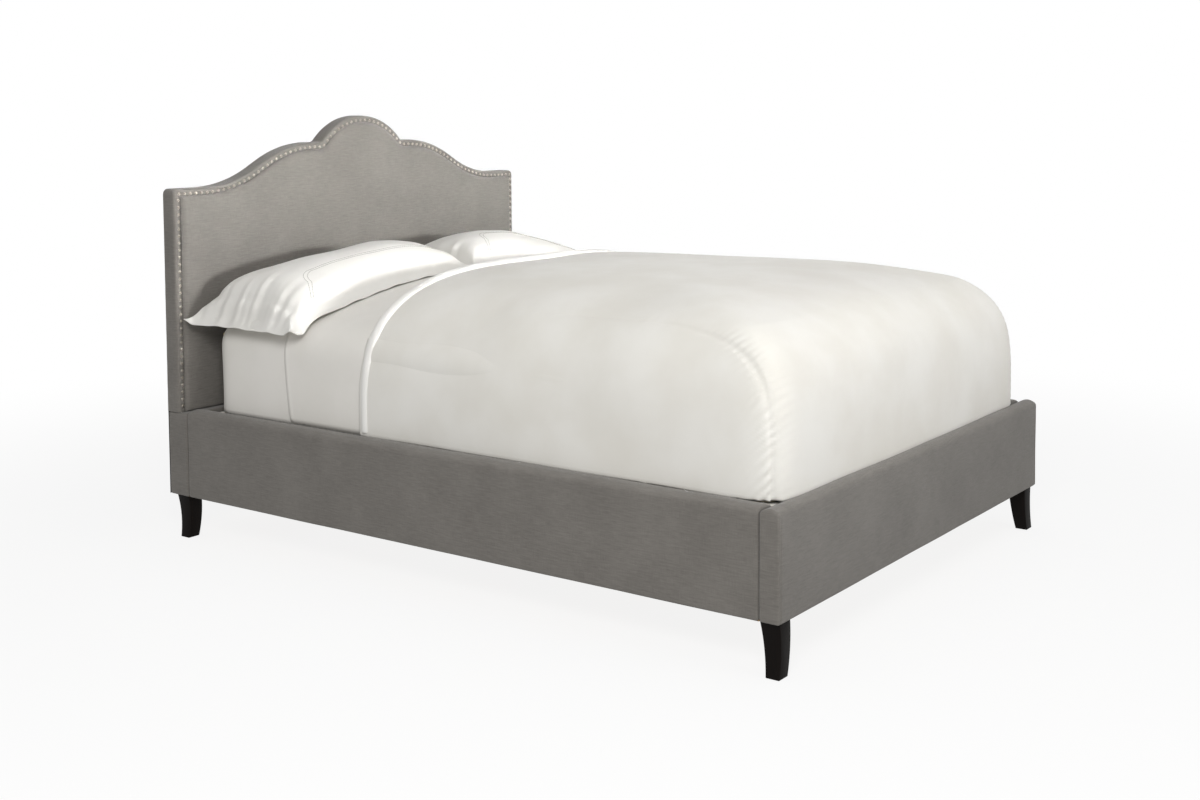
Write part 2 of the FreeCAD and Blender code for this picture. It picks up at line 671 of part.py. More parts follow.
def duvet_section():
    """Upright sides, wide shoulders and a crowned top."""
    bend_x = DUVET_HALF_W - DUVET_BEND[0]
    shoulder_x = DUVET_HALF_W - DUVET_SHOULDER[0]
    shoulder_z = DUVET_SHOULDER[1]
    start = Vector(DUVET_HALF_W, 0, HEM_Z)
    steps = [(Vector(DUVET_HALF_W, 0, DUVET_SIDE_Z),)]
    steps.append((Vector(bend_x, 0, DUVET_BEND[1]), Vector(shoulder_x, 0, shoulder_z)))
    steps.append((Vector(0, 0, DUVET_TOP_Z), Vector(-shoulder_x, 0, shoulder_z)))
    steps.append((Vector(-bend_x, 0, DUVET_BEND[1]), Vector(-DUVET_HALF_W, 0, DUVET_SIDE_Z)))
    steps.append((Vector(-DUVET_HALF_W, 0, HEM_Z),))
    steps.append((start,))
    return path_edges(start, steps)


def duvet_side_view():
    """A full foot end that rounds over into a top highest past the middle."""
    places = [Vector(0, DUVET_FOOT_Y + inwards, z)
              for inwards, z in (DUVET_END_BEND, DUVET_END_SHOULDER, DUVET_TOP_BEND)]
    clear_z = DUVET_TOP_Z + CREST_CLEARANCE
    start = Vector(0, DUVET_FOOT_Y, HEM_Z)
    steps = [(Vector(0, DUVET_FOOT_Y, DUVET_END_Z),)]
    steps.append((places[0], places[1]))
    steps.append((places[2], Vector(0, DUVET_FOOT_Y + DUVET_CREST_IN, clear_z)))
    steps.append((Vector(0, DUVET_HEAD_Y, clear_z),))
    steps.append((Vector(0, DUVET_HEAD_Y, HEM_Z),))
    steps.append((start,))
    return path_edges(start, steps)


def duvet():
    filling = prism_y(duvet_section(), DUVET_FOOT_Y, DUVET_HEAD_Y)
    filling = filling.common(prism_x(duvet_side_view(), -DUVET_HALF_W, DUVET_HALF_W))
    return filling.cut(bedding_solid(2 * SHEET_T + DUVET_GAP, FRAME_Z1))


# ---- pillows ------------------------------------------------------------------------------------
PILLOW_IN_X = 6.0
PILLOW_OUT_X = 835.0
PILLOW_FRONT_Y = 505.0
PILLOW_BACK_Y = FIELD_Y - 6.0
PILLOW_LOW_Z = 690.0
PILLOW_OUT_Z = 730.0     # top of its outer end, its middle and its inner end
PILLOW_MIDDLE_Z = 912.0
PILLOW_IN_Z = 866.0
PILLOW_FRONT_Z = 835.0   # top of its front edge, its crest and its back edge
PILLOW_CREST = (840.0, 925.0)
PILLOW_BACK_Z = 850.0


def pillow(side):
    """A plump pillow resting on the sheets: crowned both ways, hollow underneath to suit them."""
    middle_x = (PILLOW_IN_X + PILLOW_OUT_X) / 2
    start = Vector(PILLOW_OUT_X, 0, PILLOW_LOW_Z)
    steps = [(Vector(PILLOW_OUT_X, 0, PILLOW_OUT_Z),)]
    steps.append((Vector(middle_x, 0, PILLOW_MIDDLE_Z), Vector(PILLOW_IN_X, 0, PILLOW_IN_Z)))
    steps.append((Vector(PILLOW_IN_X, 0, PILLOW_LOW_Z),))
    steps.append((start,))
    across = prism_y(path_edges(start, steps), PILLOW_FRONT_Y, PILLOW_BACK_Y)
    start = Vector(0, PILLOW_FRONT_Y, PILLOW_LOW_Z)
    crest = Vector(0, *PILLOW_CREST)
    steps = [(Vector(0, PILLOW_FRONT_Y, PILLOW_FRONT_Z),)]
    steps.append((crest, Vector(0, PILLOW_BACK_Y, PILLOW_BACK_Z)))
    steps.append((Vector(0, PILLOW_BACK_Y, PILLOW_LOW_Z),))
    steps.append((start,))
    along = prism_x(path_edges(start, steps), 0.0, 2 * PILLOW_OUT_X)
    bed = bedding_solid(2 * SHEET_T + PILLOW_GAP, FRAME_Z1)
    return on_side(across.common(along).cut(bed), side)


def main():
    os.makedirs("parts", exist_ok=True)
    save(headboard_panel(), "headboard_panel")
    save(headboard_border(), "headboard_border")
    save(headboard_field(), "headboard_field")
    save(headboard_stretcher(FRAME_Z0, STRETCHER_LOW_H), "headboard_stretcher_low")
    save(headboard_stretcher(STRETCHER_HIGH_Z, STRETCHER_HIGH_H), "headboard_stretcher_high")
    save(headboard_base_core().cut(hook_slots(BASE_IN_Y, 1)), "headboard_base_core")
    save(headboard_base_cover().cut(hook_slots(BASE_IN_Y, 1)), "headboard_base_cover")
    save(headboard_back_sheet(), "headboard_back_sheet")
    save(nailhead_trim(), "nailhead_trim")
    save(panel_screws(), "panel_screws")
    save(footboard_core().cut(hook_slots(FOOT_IN_Y, -1)), "footboard_core")
    save(footboard_cover().cut(hook_slots(FOOT_IN_Y, -1)), "footboard_cover")
    save(leg_plates(), "leg_plates")
    save(leg_bolts(), "leg_bolts")
    save(hook_plate_screws(), "hook_plate_screws")
    for name, side in SIDES.items():
        save(headboard_post(side), "headboard_post_" + name)
        save(side_rail_core(side), "side_rail_core_" + name)
        save(side_rail_cover(side), "side_rail_cover_" + name)
        save(slat_cleat(side), "slat_cleat_" + name)
        save(leg(side, *FOOT_LEG_Y), "foot_leg_" + name)
        save(leg(side, *HEAD_LEG_Y), "head_leg_" + name)
        save(hook_plate(side, BASE_IN_Y, 1), "hook_plate_head_" + name)
        save(hook_plate(side, FOOT_IN_Y, -1), "hook_plate_foot_" + name)
        save(pillow(side), "pillow_" + name)
    for number in range(1, SLAT_COUNT + 1):
        save(slat(number), "slat_" + str(number))
    for number in CENTRE_LEG_SLATS:
        save(centre_leg(number), "centre_leg_" + str(number))
        save(leveller(number), "leveller_" + str(number))
    save(slat_screws(), "slat_screws")
    save(centre_leg_screws(), "centre_leg_screws")
    save(foundation_frame(), "foundation_frame")
    save(foundation_cover(), "foundation_cover")
    save(foundation_dust_sheet(), "foundation_dust_sheet")
    save(mattress_core(), "mattress_core")
    save(mattress_cover(), "mattress_cover")
    save(fitted_sheet(), "fitted_sheet")
    save(top_sheet(), "top_sheet")
    save(duvet(), "duvet")


main()
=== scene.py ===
import bmesh
import bpy
import cmath
import math
import numpy as np
from mathutils import Matrix, Vector, noise


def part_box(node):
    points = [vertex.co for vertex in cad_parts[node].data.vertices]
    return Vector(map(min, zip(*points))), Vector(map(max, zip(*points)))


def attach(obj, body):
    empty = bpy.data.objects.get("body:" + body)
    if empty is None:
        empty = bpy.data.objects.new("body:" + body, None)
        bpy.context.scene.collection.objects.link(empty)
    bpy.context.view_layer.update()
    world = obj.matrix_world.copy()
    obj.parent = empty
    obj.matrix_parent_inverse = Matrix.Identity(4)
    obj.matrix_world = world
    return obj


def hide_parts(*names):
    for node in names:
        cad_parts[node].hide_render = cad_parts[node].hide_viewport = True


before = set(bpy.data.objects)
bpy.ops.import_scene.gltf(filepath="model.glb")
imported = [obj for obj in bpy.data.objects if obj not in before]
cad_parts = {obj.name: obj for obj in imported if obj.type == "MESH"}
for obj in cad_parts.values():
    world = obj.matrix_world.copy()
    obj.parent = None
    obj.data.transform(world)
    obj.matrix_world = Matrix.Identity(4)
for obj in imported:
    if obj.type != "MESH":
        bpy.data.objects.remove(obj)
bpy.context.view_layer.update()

# The looks of an upholstered queen bed: grey slub linen over padded boards, one row of antique
# nailheads round a camelback headboard, dark sabre legs, and white cotton bedding.
# Metres.  +Y points to the headboard, left is -X, and the floor is z = 0.

MM = 0.001
SIDES = ("left", "right")

# ---- places read from the frame ------------------------------------------------------------------
base_low, base_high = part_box("headboard_base_cover")
back_low, back_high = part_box("headboard_back_sheet")
border_low, border_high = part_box("headboard_border")
foot_low, foot_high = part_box("footboard_cover")
mattress_low, mattress_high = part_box("mattress_cover")
duvet_low, duvet_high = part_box("duvet")
top_sheet_low, top_sheet_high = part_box("top_sheet")
HALF_W = base_high.x
BASE_TOP = base_high.z
CROWN_Z = back_high.z
BORDER_Y = border_low.y
FIELD_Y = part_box("headboard_field")[0].y
PANEL_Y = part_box("headboard_panel")[0].y
MATTRESS_HALF_W = mattress_high.x
MATTRESS_TOP = mattress_high.z
HEM_Z = top_sheet_low.z

# camelback outline, which the CAD headboard shares
CORNER_Z = 1.115
SHOULDER_Z = 1.250
CROWN_R = 0.266
CROWN_FILLET_R = 0.025
SWEEP_R = 0.470
SWEEP_ANGLE = math.radians(28.0)
SWEEP_START_X = 0.722
SWEEP_MIDDLE = 0.053
CORNER_R = 0.018
BORDER_W = 0.024
NAIL_INSET = 0.016
NAIL_LOW_Z = 0.424
NAIL_COUNT = 138
NAIL_PULL = 0.9 * MM        # how far the cloth dips at each nail
PANEL_LAP = 0.5 * MM        # how far the padding laps the panel, so no gap shows


# ---- making and shaping --------------------------------------------------------------------------
def deselect():
    bpy.ops.object.select_all(action="DESELECT")


def pick(piece):
    deselect()
    piece.select_set(True)
    bpy.context.view_layer.objects.active = piece


def named(name):
    piece = bpy.context.object
    piece.name = piece.data.name = name
    return piece


def read_all(items, what, width=3, kind=float):
    """One property of all the points, corners or faces of a mesh, a row for each."""
    flat = np.empty(len(items) * width, kind)
    items.foreach_get(what, flat)
    return flat.reshape(-1, width) if width > 1 else flat


def points_of(piece):
    return read_all(piece.data.vertices, "co")


def normals_of(piece):
    return read_all(piece.data.vertices, "normal")


def move_points(piece, places):
    piece.data.vertices.foreach_set("co", np.asarray(places, float).ravel())
    piece.data.update()


def modify(piece, kind, **settings):
    """Adds one modifier and applies it."""
    pick(piece)
    modifier = piece.modifiers.new(kind.title(), kind)
    for key, value in settings.items():
        setattr(modifier, key, value)
    bpy.ops.object.modifier_apply(modifier=modifier.name)


SELECT_ALL = (bpy.ops.mesh.select_all, {"action": "SELECT"})
FACE_OUTWARD = (bpy.ops.mesh.normals_make_consistent, {"inside": False})
FILL_EDGES = (bpy.ops.mesh.edge_face_add, {})


def in_edit_mode(piece, *steps):
    """Runs edit operators on all of a piece, each given as (operator, settings)."""
    pick(piece)
    bpy.ops.object.mode_set(mode="EDIT")
    bpy.ops.mesh.select_all(action="SELECT")
    for operator, settings in steps:
        operator(**settings)
    bpy.ops.object.mode_set(mode="OBJECT")


def on_open_edges(piece, *steps, **choice):
    """Runs edit operators on a piece's open edges, which choice can narrow down."""
    in_edit_mode(piece, (bpy.ops.mesh.select_mode, {"type": "EDGE"}),
                 (bpy.ops.mesh.select_all, {"action": "DESELECT"}),
                 (bpy.ops.mesh.select_non_manifold, {"extend": False, **choice}), *steps)


def weld(piece, distance=0.0002):
    in_edit_mode(piece, (bpy.ops.mesh.remove_doubles, {"threshold": distance}), FACE_OUTWARD)


def cap_holes(piece):
    """Fills every open loop of a piece with a flat face."""
    on_open_edges(piece, FILL_EDGES, SELECT_ALL, FACE_OUTWARD, use_wire=False, use_multi_face=False,
                  use_non_contiguous=False, use_verts=False)


def copy_of(piece):
    twin = piece.copy()
    twin.data = piece.data.copy()
    bpy.context.collection.objects.link(twin)
    return twin


def thread_grid(name, columns, rows, place):
    """A grid primitive, each of whose points goes to place(column, row)."""
    deselect()
    bpy.ops.mesh.primitive_grid_add(x_subdivisions=columns, y_subdivisions=rows, size=1.0)
    piece = named(name)
    spots = points_of(piece) + 0.5
    column = np.rint(spots[:, 0] * columns).astype(int)
    row = np.rint(spots[:, 1] * rows).astype(int)
    move_points(piece, np.stack(place(column, row), axis=1))
    return piece


def cut_box(name, low, high, cuts):
    """A cube primitive at its size and place, bisected at the places given for X, Y and Z."""
    low, high = Vector(low), Vector(high)
    deselect()
    bpy.ops.mesh.primitive_cube_add(size=1.0, location=(low + high) / 2, scale=high - low)
    piece = named(name)
    bpy.ops.object.transform_apply(location=True, rotation=True, scale=True)
    steps = []
    for axis, places in enumerate(cuts):
        normal = [0.0, 0.0, 0.0]
        normal[axis] = 1.0
        for place in places:
            at = [0.0, 0.0, 0.0]
            at[axis] = float(place)
            steps.append(SELECT_ALL)
            steps.append((bpy.ops.mesh.bisect, {"plane_co": at, "plane_no": normal}))
    in_edit_mode(piece, *steps)
    return piece


def even_cuts(low, high, cell):
    count = max(1, round((high - low) / cell))
    return list(np.linspace(low, high, count + 1)[1:-1])


def ripple(places, size, height, seed=0.0):
    """A soft uneven height at each place: noise of the same size along every axis."""
    moved = [Vector(p) / size + Vector((seed, seed * 0.7, seed * 1.3)) for p in places]
    return height * np.array([noise.noise(p) for p in moved])


def stretched_ripple(places, sizes, height, seed=0.0):
    """The same with a size for each axis, for folds that run one way."""
    sizes = np.asarray(sizes, float)
    moved = np.asarray(places) / sizes + np.array([seed, seed * 0.7, seed * 1.3])
    return height * np.array([noise.noise(Vector(p)) for p in moved])


def puff(piece, height):
    """Moves each point out along its normal."""
    move_points(piece, points_of(piece) + normals_of(piece) * np.asarray(height)[:, None])


def lay_cloth(piece, run="x"):
    """A UV map named cloth, in metres: u follows the weft, which runs along X or Y, or level."""
    mesh = piece.data
    while mesh.uv_layers:
        mesh.uv_layers.remove(mesh.uv_layers[0])
    layer = mesh.uv_layers.new(name="cloth")
    facing = np.abs(read_all(mesh.polygons, "normal"))
    corners = read_all(mesh.polygons, "loop_total", 1, int)
    side = np.repeat(np.argmax(facing, axis=1), corners)
    p = points_of(piece)[read_all(mesh.loops, "vertex_index", 1, int)]
    along_x = run == "x"
    u = np.where(side == 0, p[:, 1], np.where(side == 1, p[:, 0], p[:, 0] if along_x else p[:, 1]))
    v = np.where(side == 2, p[:, 1] if along_x else p[:, 0], p[:, 2])
    layer.data.foreach_set("uv", np.stack([u, v], axis=1).ravel())


def smooth(piece, angle=None):
    """Smooth shading, all over or below an angle in degrees."""
    pick(piece)
    if angle is None:
        bpy.ops.object.shade_smooth()
    else:
        bpy.ops.object.shade_smooth_by_angle(angle=math.radians(angle))


def dress(piece, material, body, replaced=()):
    """The finish, the body it moves with, and the CAD nodes it stands for."""
    piece.data.materials.clear()
    piece.data.materials.append(material)
    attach(piece, body)
    if replaced:
        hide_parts(*replaced)


def join(name, pieces):
    deselect()
    for piece in pieces:
        piece.select_set(True)
    bpy.context.view_layer.objects.active = pieces[0]
    bpy.ops.object.join()
    return named(name)


# ---- shader maths --------------------------------------------------------------------------------
class Value:
    """A socket in a finish's nodes: arithmetic on it adds Math nodes."""

    def __init__(self, finish, socket):
        self.finish = finish
        self.socket = socket

    def maths(self, operation, *others):
        inputs = dict(enumerate((self,) + others))
        return self.finish.node("ShaderNodeMath", inputs, operation=operation)

    def __add__(self, other):
        return self.maths("ADD", other)

    def __sub__(self, other):
        return self.maths("SUBTRACT", other)

    def __mul__(self, other):
        return self.maths("MULTIPLY", other)

    def sine(self):
        return self.maths("SINE")

    def above(self, edge, soft):
        """0 below edge, 1 above edge + soft, with a smooth step between."""
        sockets = {"Value": self, "From Min": edge, "From Max": edge + soft}
        return self.finish.node("ShaderNodeMapRange", sockets, interpolation_type="SMOOTHSTEP")

    __radd__ = __add__


class Finish:
    """One material round a Principled shader, whose constants are set on its own sockets."""

    def __init__(self, name, **constants):
        self.material = bpy.data.materials.new(name)
        self.material.use_nodes = True
        self.tree = self.material.node_tree
        self.shader = self.tree.nodes["Principled BSDF"]
        for key, value in constants.items():
            self.shader.inputs[key.replace("_", " ")].default_value = value

    def node(self, kind, sockets=None, output=0, stops=None, **settings):
        made = self.tree.nodes.new(kind)
        for key, value in settings.items():
            setattr(made, key, value)
        if stops:
            ramp = made.color_ramp.elements
            while len(ramp) < len(stops):
                ramp.new(0.5)
            for element, (place, colour) in zip(ramp, stops):
                element.position = place
                element.color = colour
        for key, value in (sockets or {}).items():
            self.put(made.inputs[key], value)
        return Value(self, made.outputs[output])

    def put(self, socket, value):
        if isinstance(value, Value):
            self.tree.links.new(value.socket, socket)
        else:
            socket.default_value = value

    def place(self):
        return self.node("ShaderNodeTexCoord", output="Object")

    def cloth(self):
        return self.node("ShaderNodeUVMap", uv_map="cloth")

    def scaled(self, place, x, y, z):
        return self.node("ShaderNodeMapping", {"Vector": place, "Scale": (x, y, z)})

    def axis(self, place, name):
        return self.node("ShaderNodeSeparateXYZ", {"Vector": place}, output=name)

    def noise(self, place, scale=1.0, detail=3.0, rough=0.55):
        sockets = {"Vector": place, "Scale": scale, "Detail": detail, "Roughness": rough}
        return self.node("ShaderNodeTexNoise", sockets)

    def mix(self, factor, low, high):
        """Colour from low to high."""
        sockets = {"Factor": factor, 6: low, 7: high}
        return self.node("ShaderNodeMix", sockets, output=2, data_type="RGBA")

    def colour(self, value):
        self.put(self.shader.inputs["Base Color"], value)

    def rough(self, value):
        self.put(self.shader.inputs["Roughness"], value)

    def bump(self, height, distance, strength=1.0):
        sockets = {"Height": height, "Distance": distance, "Strength": strength}
        bumped = self.node("ShaderNodeBump", sockets)
        self.put(self.shader.inputs["Normal"], bumped)


def rgb(red, green, blue):
    """A colour given as it looks on a screen, 0 to 255."""
    linear = [((c / 255 + 0.055) / 1.055) ** 2.4 for c in (red, green, blue)]
    return (*linear, 1.0)


# ---- finishes ------------------------------------------------------------------------------------
def slub_linen():
    """Heathered grey linen: uneven weft threads run level, and crossing warp shows faintly."""
    f = Finish("grey_linen", Sheen_Weight=0.25, Sheen_Roughness=0.5, Specular_IOR_Level=0.2)
    cloth = f.cloth()
    u = f.axis(cloth, "X")
    v = f.axis(cloth, "Y")
    slub = f.noise(f.scaled(cloth, 48.0, 640.0, 1.0), detail=4.0, rough=0.65)
    streak = f.noise(f.scaled(cloth, 24.0, 230.0, 1.0), detail=3.0)
    warp = f.noise(f.scaled(cloth, 620.0, 34.0, 1.0), detail=2.0)
    cloud = f.noise(f.place(), scale=6.0, detail=4.0)
    threads = (u * 4600.0).sine() * (v * 4600.0).sine()
    tone = slub * 0.42 + streak * 0.42 + warp * 0.25 + cloud * 0.36 - 0.37
    f.colour(f.mix(tone.above(0.0, 0.7), rgb(103, 99, 94), rgb(134, 130, 124)))
    f.rough(slub * 0.14 + 0.80)
    f.bump(slub * 0.55 + warp * 0.3 + threads * 0.12, 0.0009, 0.75)
    return f.material


def dust_cloth():
    """Thin black non-woven cloth with its pressed dots."""
    f = Finish("dust_cloth", Specular_IOR_Level=0.2)
    place = f.place()
    fibres = f.noise(place, scale=260.0, detail=4.0)
    dots = (f.axis(place, "X") * 900.0).sine() * (f.axis(place, "Z") * 900.0).sine()
    f.colour(f.mix(fibres, rgb(28, 28, 29), rgb(48, 47, 46)))
    f.rough(fibres * 0.2 + 0.75)
    f.bump(fibres * 0.5 + dots * 0.5, 0.0004, 0.6)
    return f.material


def cotton(name, low, high, rough, crease=0.5):
    """Smooth white cotton, with a very fine weave and faint pressed creases."""
    f = Finish(name, Sheen_Weight=0.12, Sheen_Roughness=0.4, Specular_IOR_Level=0.3)
    place = f.place()
    weave = f.noise(place, scale=1400.0, detail=2.0)
    soft = f.noise(place, scale=5.0, detail=4.0, rough=0.5)
    drag = f.noise(f.scaled(place, 9.0, 22.0, 16.0), detail=4.0)
    f.colour(f.mix(soft.above(0.25, 0.5), low, high))
    f.rough(soft * 0.1 + rough)
    f.bump(drag * crease + weave * 0.03, 0.004, 0.35)
    return f.material


def espresso_wood():
    """Near-black stained hardwood under a satin coat, its grain running up the leg."""
    f = Finish("espresso_wood", Coat_Weight=0.04, Coat_Roughness=0.3, Specular_IOR_Level=0.12)
    place = f.place()
    grain = f.noise(f.scaled(place, 240.0, 240.0, 9.0), detail=5.0, rough=0.6)
    pores = f.noise(f.scaled(place, 900.0, 900.0, 40.0), detail=2.0)
    wear = f.noise(place, scale=60.0, detail=3.0).above(0.62, 0.2)
    f.colour(f.mix(grain * 0.8 + wear * 0.3, rgb(9, 7, 6), rgb(24, 17, 13)))
    f.rough(0.30 + grain * 0.22)
    f.bump(grain * 0.5 + pores * 0.5, 0.0004, 0.5)
    return f.material


def antique_silver():
    """Nickelled nailheads with a patchy patina, brighter in some spots and duller in others."""
    f = Finish("nail_silver", Metallic=1.0)
    place = f.place()
    patina = f.noise(place, scale=420.0, detail=4.0)
    f.colour(f.mix(patina.above(0.35, 0.3), rgb(120, 112, 100), rgb(226, 220, 208)))
    f.rough(0.22 + patina * 0.25)
    f.bump(patina, 0.0003, 0.4)
    return f.material


def pine(name, length_axis):
    """Planed softwood with long grain and a few darker growth rings."""
    f = Finish(name, Specular_IOR_Level=0.35)
    stretch = [55.0, 55.0, 55.0]
    stretch[length_axis] = 1.6
    place = f.place()
    grain = f.noise(f.scaled(place, *stretch), detail=5.0, rough=0.6)
    fine = f.noise(f.scaled(place, *[s * 6 for s in stretch]), detail=3.0)
    rings = (grain * 38.0).sine() * 0.5 + 0.5
    f.colour(f.mix(rings * 0.55 + fine * 0.35, rgb(214, 178, 126), rgb(176, 132, 84)))
    f.rough(fine * 0.2 + 0.5)
    f.bump(fine * 0.6 + rings * 0.2, 0.0006, 0.5)
    return f.material


def plywood():
    """Birch plywood: plain veneer, with its thin layers on the edges."""
    f = Finish("plywood", Specular_IOR_Level=0.3)
    place = f.place()
    layers = (f.axis(place, "Y") * 2100.0).sine() * 0.5 + 0.5
    veneer = f.noise(f.scaled(place, 4.0, 60.0, 60.0), detail=5.0)
    f.colour(f.mix(layers * 0.4 + veneer * 0.6, rgb(196, 160, 112), rgb(160, 118, 74)))
    f.rough(veneer * 0.2 + 0.55)
    f.bump(veneer, 0.0005, 0.4)
    return f.material


def grained(name, scale, detail, low, high, rough, relief, **constants):
    """A plain finish that follows one noise: rough is (base, swing), relief (distance, strength)."""
    f = Finish(name, **constants)
    grain = f.noise(f.place(), scale=scale, detail=detail)
    f.colour(f.mix(grain, low, high))
    f.rough(grain * rough[1] + rough[0])
    f.bump(grain, *relief)
    return f.material


def ticking():
    """Off-white mattress cloth with a narrow woven stripe."""
    f = Finish("ticking", Sheen_Weight=0.15, Specular_IOR_Level=0.25)
    place = f.place()
    stripe = (f.axis(place, "X") * 330.0).sine().above(0.86, 0.06)
    weave = f.noise(place, scale=900.0, detail=2.0)
    f.colour(f.mix(stripe * 0.75 + weave * 0.15, rgb(228, 224, 214), rgb(132, 142, 158)))
    f.rough(weave * 0.15 + 0.75)
    f.bump(weave, 0.0006, 0.5)
    return f.material


LINEN = slub_linen()
DUST = dust_cloth()
SHEET = cotton("sheet_cotton", rgb(232, 229, 222), rgb(238, 235, 229), rough=0.62)
DUVET = cotton("duvet_cotton", rgb(226, 223, 215), rgb(234, 232, 226), rough=0.55, crease=0.3)
TRIM = cotton("trim_cotton", rgb(237, 235, 230), rgb(243, 242, 238), rough=0.55)
PILLOW = cotton("pillow_cotton", rgb(227, 225, 219), rgb(234, 232, 227), rough=0.58)
THREAD = cotton("stitch_thread", rgb(150, 147, 140), rgb(172, 169, 161), rough=0.7)
ESPRESSO = espresso_wood()
SILVER = antique_silver()
PINE_ACROSS = pine("pine_across", 0)
PINE_ALONG = pine("pine_along", 1)
PINE_UPRIGHT = pine("pine_upright", 2)
PLYWOOD = plywood()
STEEL = grained("zinc_steel", 190.0, 3.0, rgb(140, 142, 145), rgb(196, 198, 200),
                rough=(0.28, 0.25), relief=(0.0002, 0.3), Metallic=1.0)
NYLON = grained("leveller_nylon", 700.0, 2.0, rgb(38, 38, 40), rgb(58, 58, 60),
                rough=(0.4, 0.2), relief=(0.0002, 0.4), Specular_IOR_Level=0.4)
FOAM = grained("foam", 520.0, 3.0, rgb(206, 188, 140), rgb(236, 224, 186),
               rough=(0.85, 0.1), relief=(0.0008, 0.7), Specular_IOR_Level=0.2)
TICKING = ticking()


# ---- camelback outline ---------------------------------------------------------------------------
def arc(centre, radius, start, stop, count):
    """Points of an arc after its first one, as x + iz."""
    return [centre + cmath.rect(radius, a) for a in np.linspace(start, stop, count + 1)[1:]]


def straight(start, stop, count):
    return [start + (stop - start) * t for t in np.linspace(0, 1, count + 1)[1:]]


def camelback(inset, bottom):
    """The headboard's outline moved inwards: right side, over the crown, left side."""
    up = math.pi / 2
    corner_r = max(CORNER_R - inset, 0.003)
    corner = complex(HALF_W - inset - corner_r, CORNER_Z - inset - corner_r)
    low = complex(SWEEP_START_X, CORNER_Z + SWEEP_R)
    out = cmath.rect(1.0, -up - SWEEP_ANGLE)
    high = low + 2 * SWEEP_R * out + cmath.rect(SWEEP_MIDDLE, math.pi - SWEEP_ANGLE)
    crown = complex(0.0, CROWN_Z - CROWN_R)
    reach = CROWN_R + CROWN_FILLET_R
    tilt = math.asin((SHOULDER_Z + CROWN_FILLET_R - crown.imag) / reach)
    fillet = crown + cmath.rect(reach, tilt)
    path = [complex(HALF_W - inset, bottom)]
    path += straight(path[-1], corner + corner_r, 150)
    path += arc(corner, corner_r, 0, up, 7)
    path += straight(path[-1], low + cmath.rect(SWEEP_R + inset, -up), 22)
    path += arc(low, SWEEP_R + inset, -up, -up - SWEEP_ANGLE, 50)
    path += straight(path[-1], high + cmath.rect(SWEEP_R - inset, up - SWEEP_ANGLE), 12)
    path += arc(high, SWEEP_R - inset, up - SWEEP_ANGLE, up, 50)
    path += straight(path[-1], fillet + cmath.rect(CROWN_FILLET_R + inset, -up), 5)
    path += arc(fillet, CROWN_FILLET_R + inset, -up, tilt - math.pi, 9)
    path += arc(crown, CROWN_R - inset, tilt, up, 48)
    right = np.array(path)
    return np.concatenate([right, -np.conj(right[-2::-1])])


def run_length(path):
    return np.concatenate([[0.0], np.cumsum(np.abs(np.diff(path)))])


nail_path = camelback(NAIL_INSET, NAIL_LOW_Z)
nail_run = run_length(nail_path)
nail_spots = np.linspace(0.0, nail_run[-1], NAIL_COUNT)
nail_centres = (np.interp(nail_spots, nail_run, nail_path.real)
                + 1j * np.interp(nail_spots, nail_run, nail_path.imag))
NAIL_PITCH = nail_spots[1]


def between_nails(run):
    """0 at each nail and 1 half way to the next, along the nail line."""
    return 0.5 - 0.5 * np.cos(2 * math.pi * run / NAIL_PITCH)


# ---- headboard -----------------------------------------------------------------------------------
def headboard_rim():
    """The border: cloth pulled from the back, over a soft edge, and down under the nails."""
    back_y = border_high.y - 0.5 * MM
    panel_y = PANEL_Y - PANEL_LAP
    # the section is walked as (mm in from the outline, Y): back, edge, front, panel, back
    section = [(0.0, back_y), (0.0, 1.100), (0.0, 1.086), (0.1, 1.074), (0.9, 1.0665), (2.6, 1.0622),
               (5.4, 1.0592), (8.8, 1.0580), (12.2, 1.0583), (15.0, 1.0597), (16.6, 1.0600),
               (19.2, 1.0592), (22.0, 1.0602), (24.0, 1.0640), (24.4, panel_y),
               (8.4, panel_y), (8.4, back_y), (0.0, back_y)]
    insets = [inset * MM for inset, _ in section]
    depths = np.array([depth for _, depth in section])
    rings = np.array([camelback(inset, BASE_TOP + 0.5 * MM) for inset in insets])
    pulled = 1.0 - between_nails(nail_run)
    front = np.array([1.0 if 3.0 < inset < 23.0 and depth < 1.065 else 0.0 for inset, depth in section])
    rim = thread_grid(
        "headboard_rim", rings.shape[1] - 1, len(section) - 1,
        lambda c, r: (rings[r, c].real, depths[r] + front[r] * pulled[c] * NAIL_PULL, rings[r, c].imag))
    weld(rim)
    cap_holes(rim)
    at = points_of(rim)
    puff(rim, stretched_ripple(at, (0.03, 0.05, 0.03), 0.35 * MM, 3.0))
    lay_cloth(rim)
    smooth(rim, 60)
    dress(rim, LINEN, "frame", ["headboard_border"])


def graded(count, bias):
    """Steps from 0 to 1, closer together at both ends."""
    t = np.linspace(0.0, 1.0, count + 1)
    return t - bias * np.sin(2 * math.pi * t) / (2 * math.pi)


def under_outline(name, inset, bottom, columns, rows, bias, depth_of):
    """A front filled with threads under the camelback outline, its depth given by place."""
    outline = camelback(inset, bottom)
    half = outline[0].real
    across = (graded(columns, bias) * 2 - 1) * half
    upward = graded(rows, bias)
    ridge = outline[np.abs(outline.real) < half - 1e-6]
    tops = np.interp(-across, -ridge.real, ridge.imag)
    x_at = np.repeat(across[:, None], rows + 1, axis=1)
    z_at = bottom + upward[None, :] * (tops[:, None] - bottom)
    depth = depth_of(x_at.ravel(), z_at.ravel(), outline).reshape(x_at.shape)
    return thread_grid(name, columns, rows, lambda c, r: (x_at[c, r], depth[c, r], z_at[c, r]))


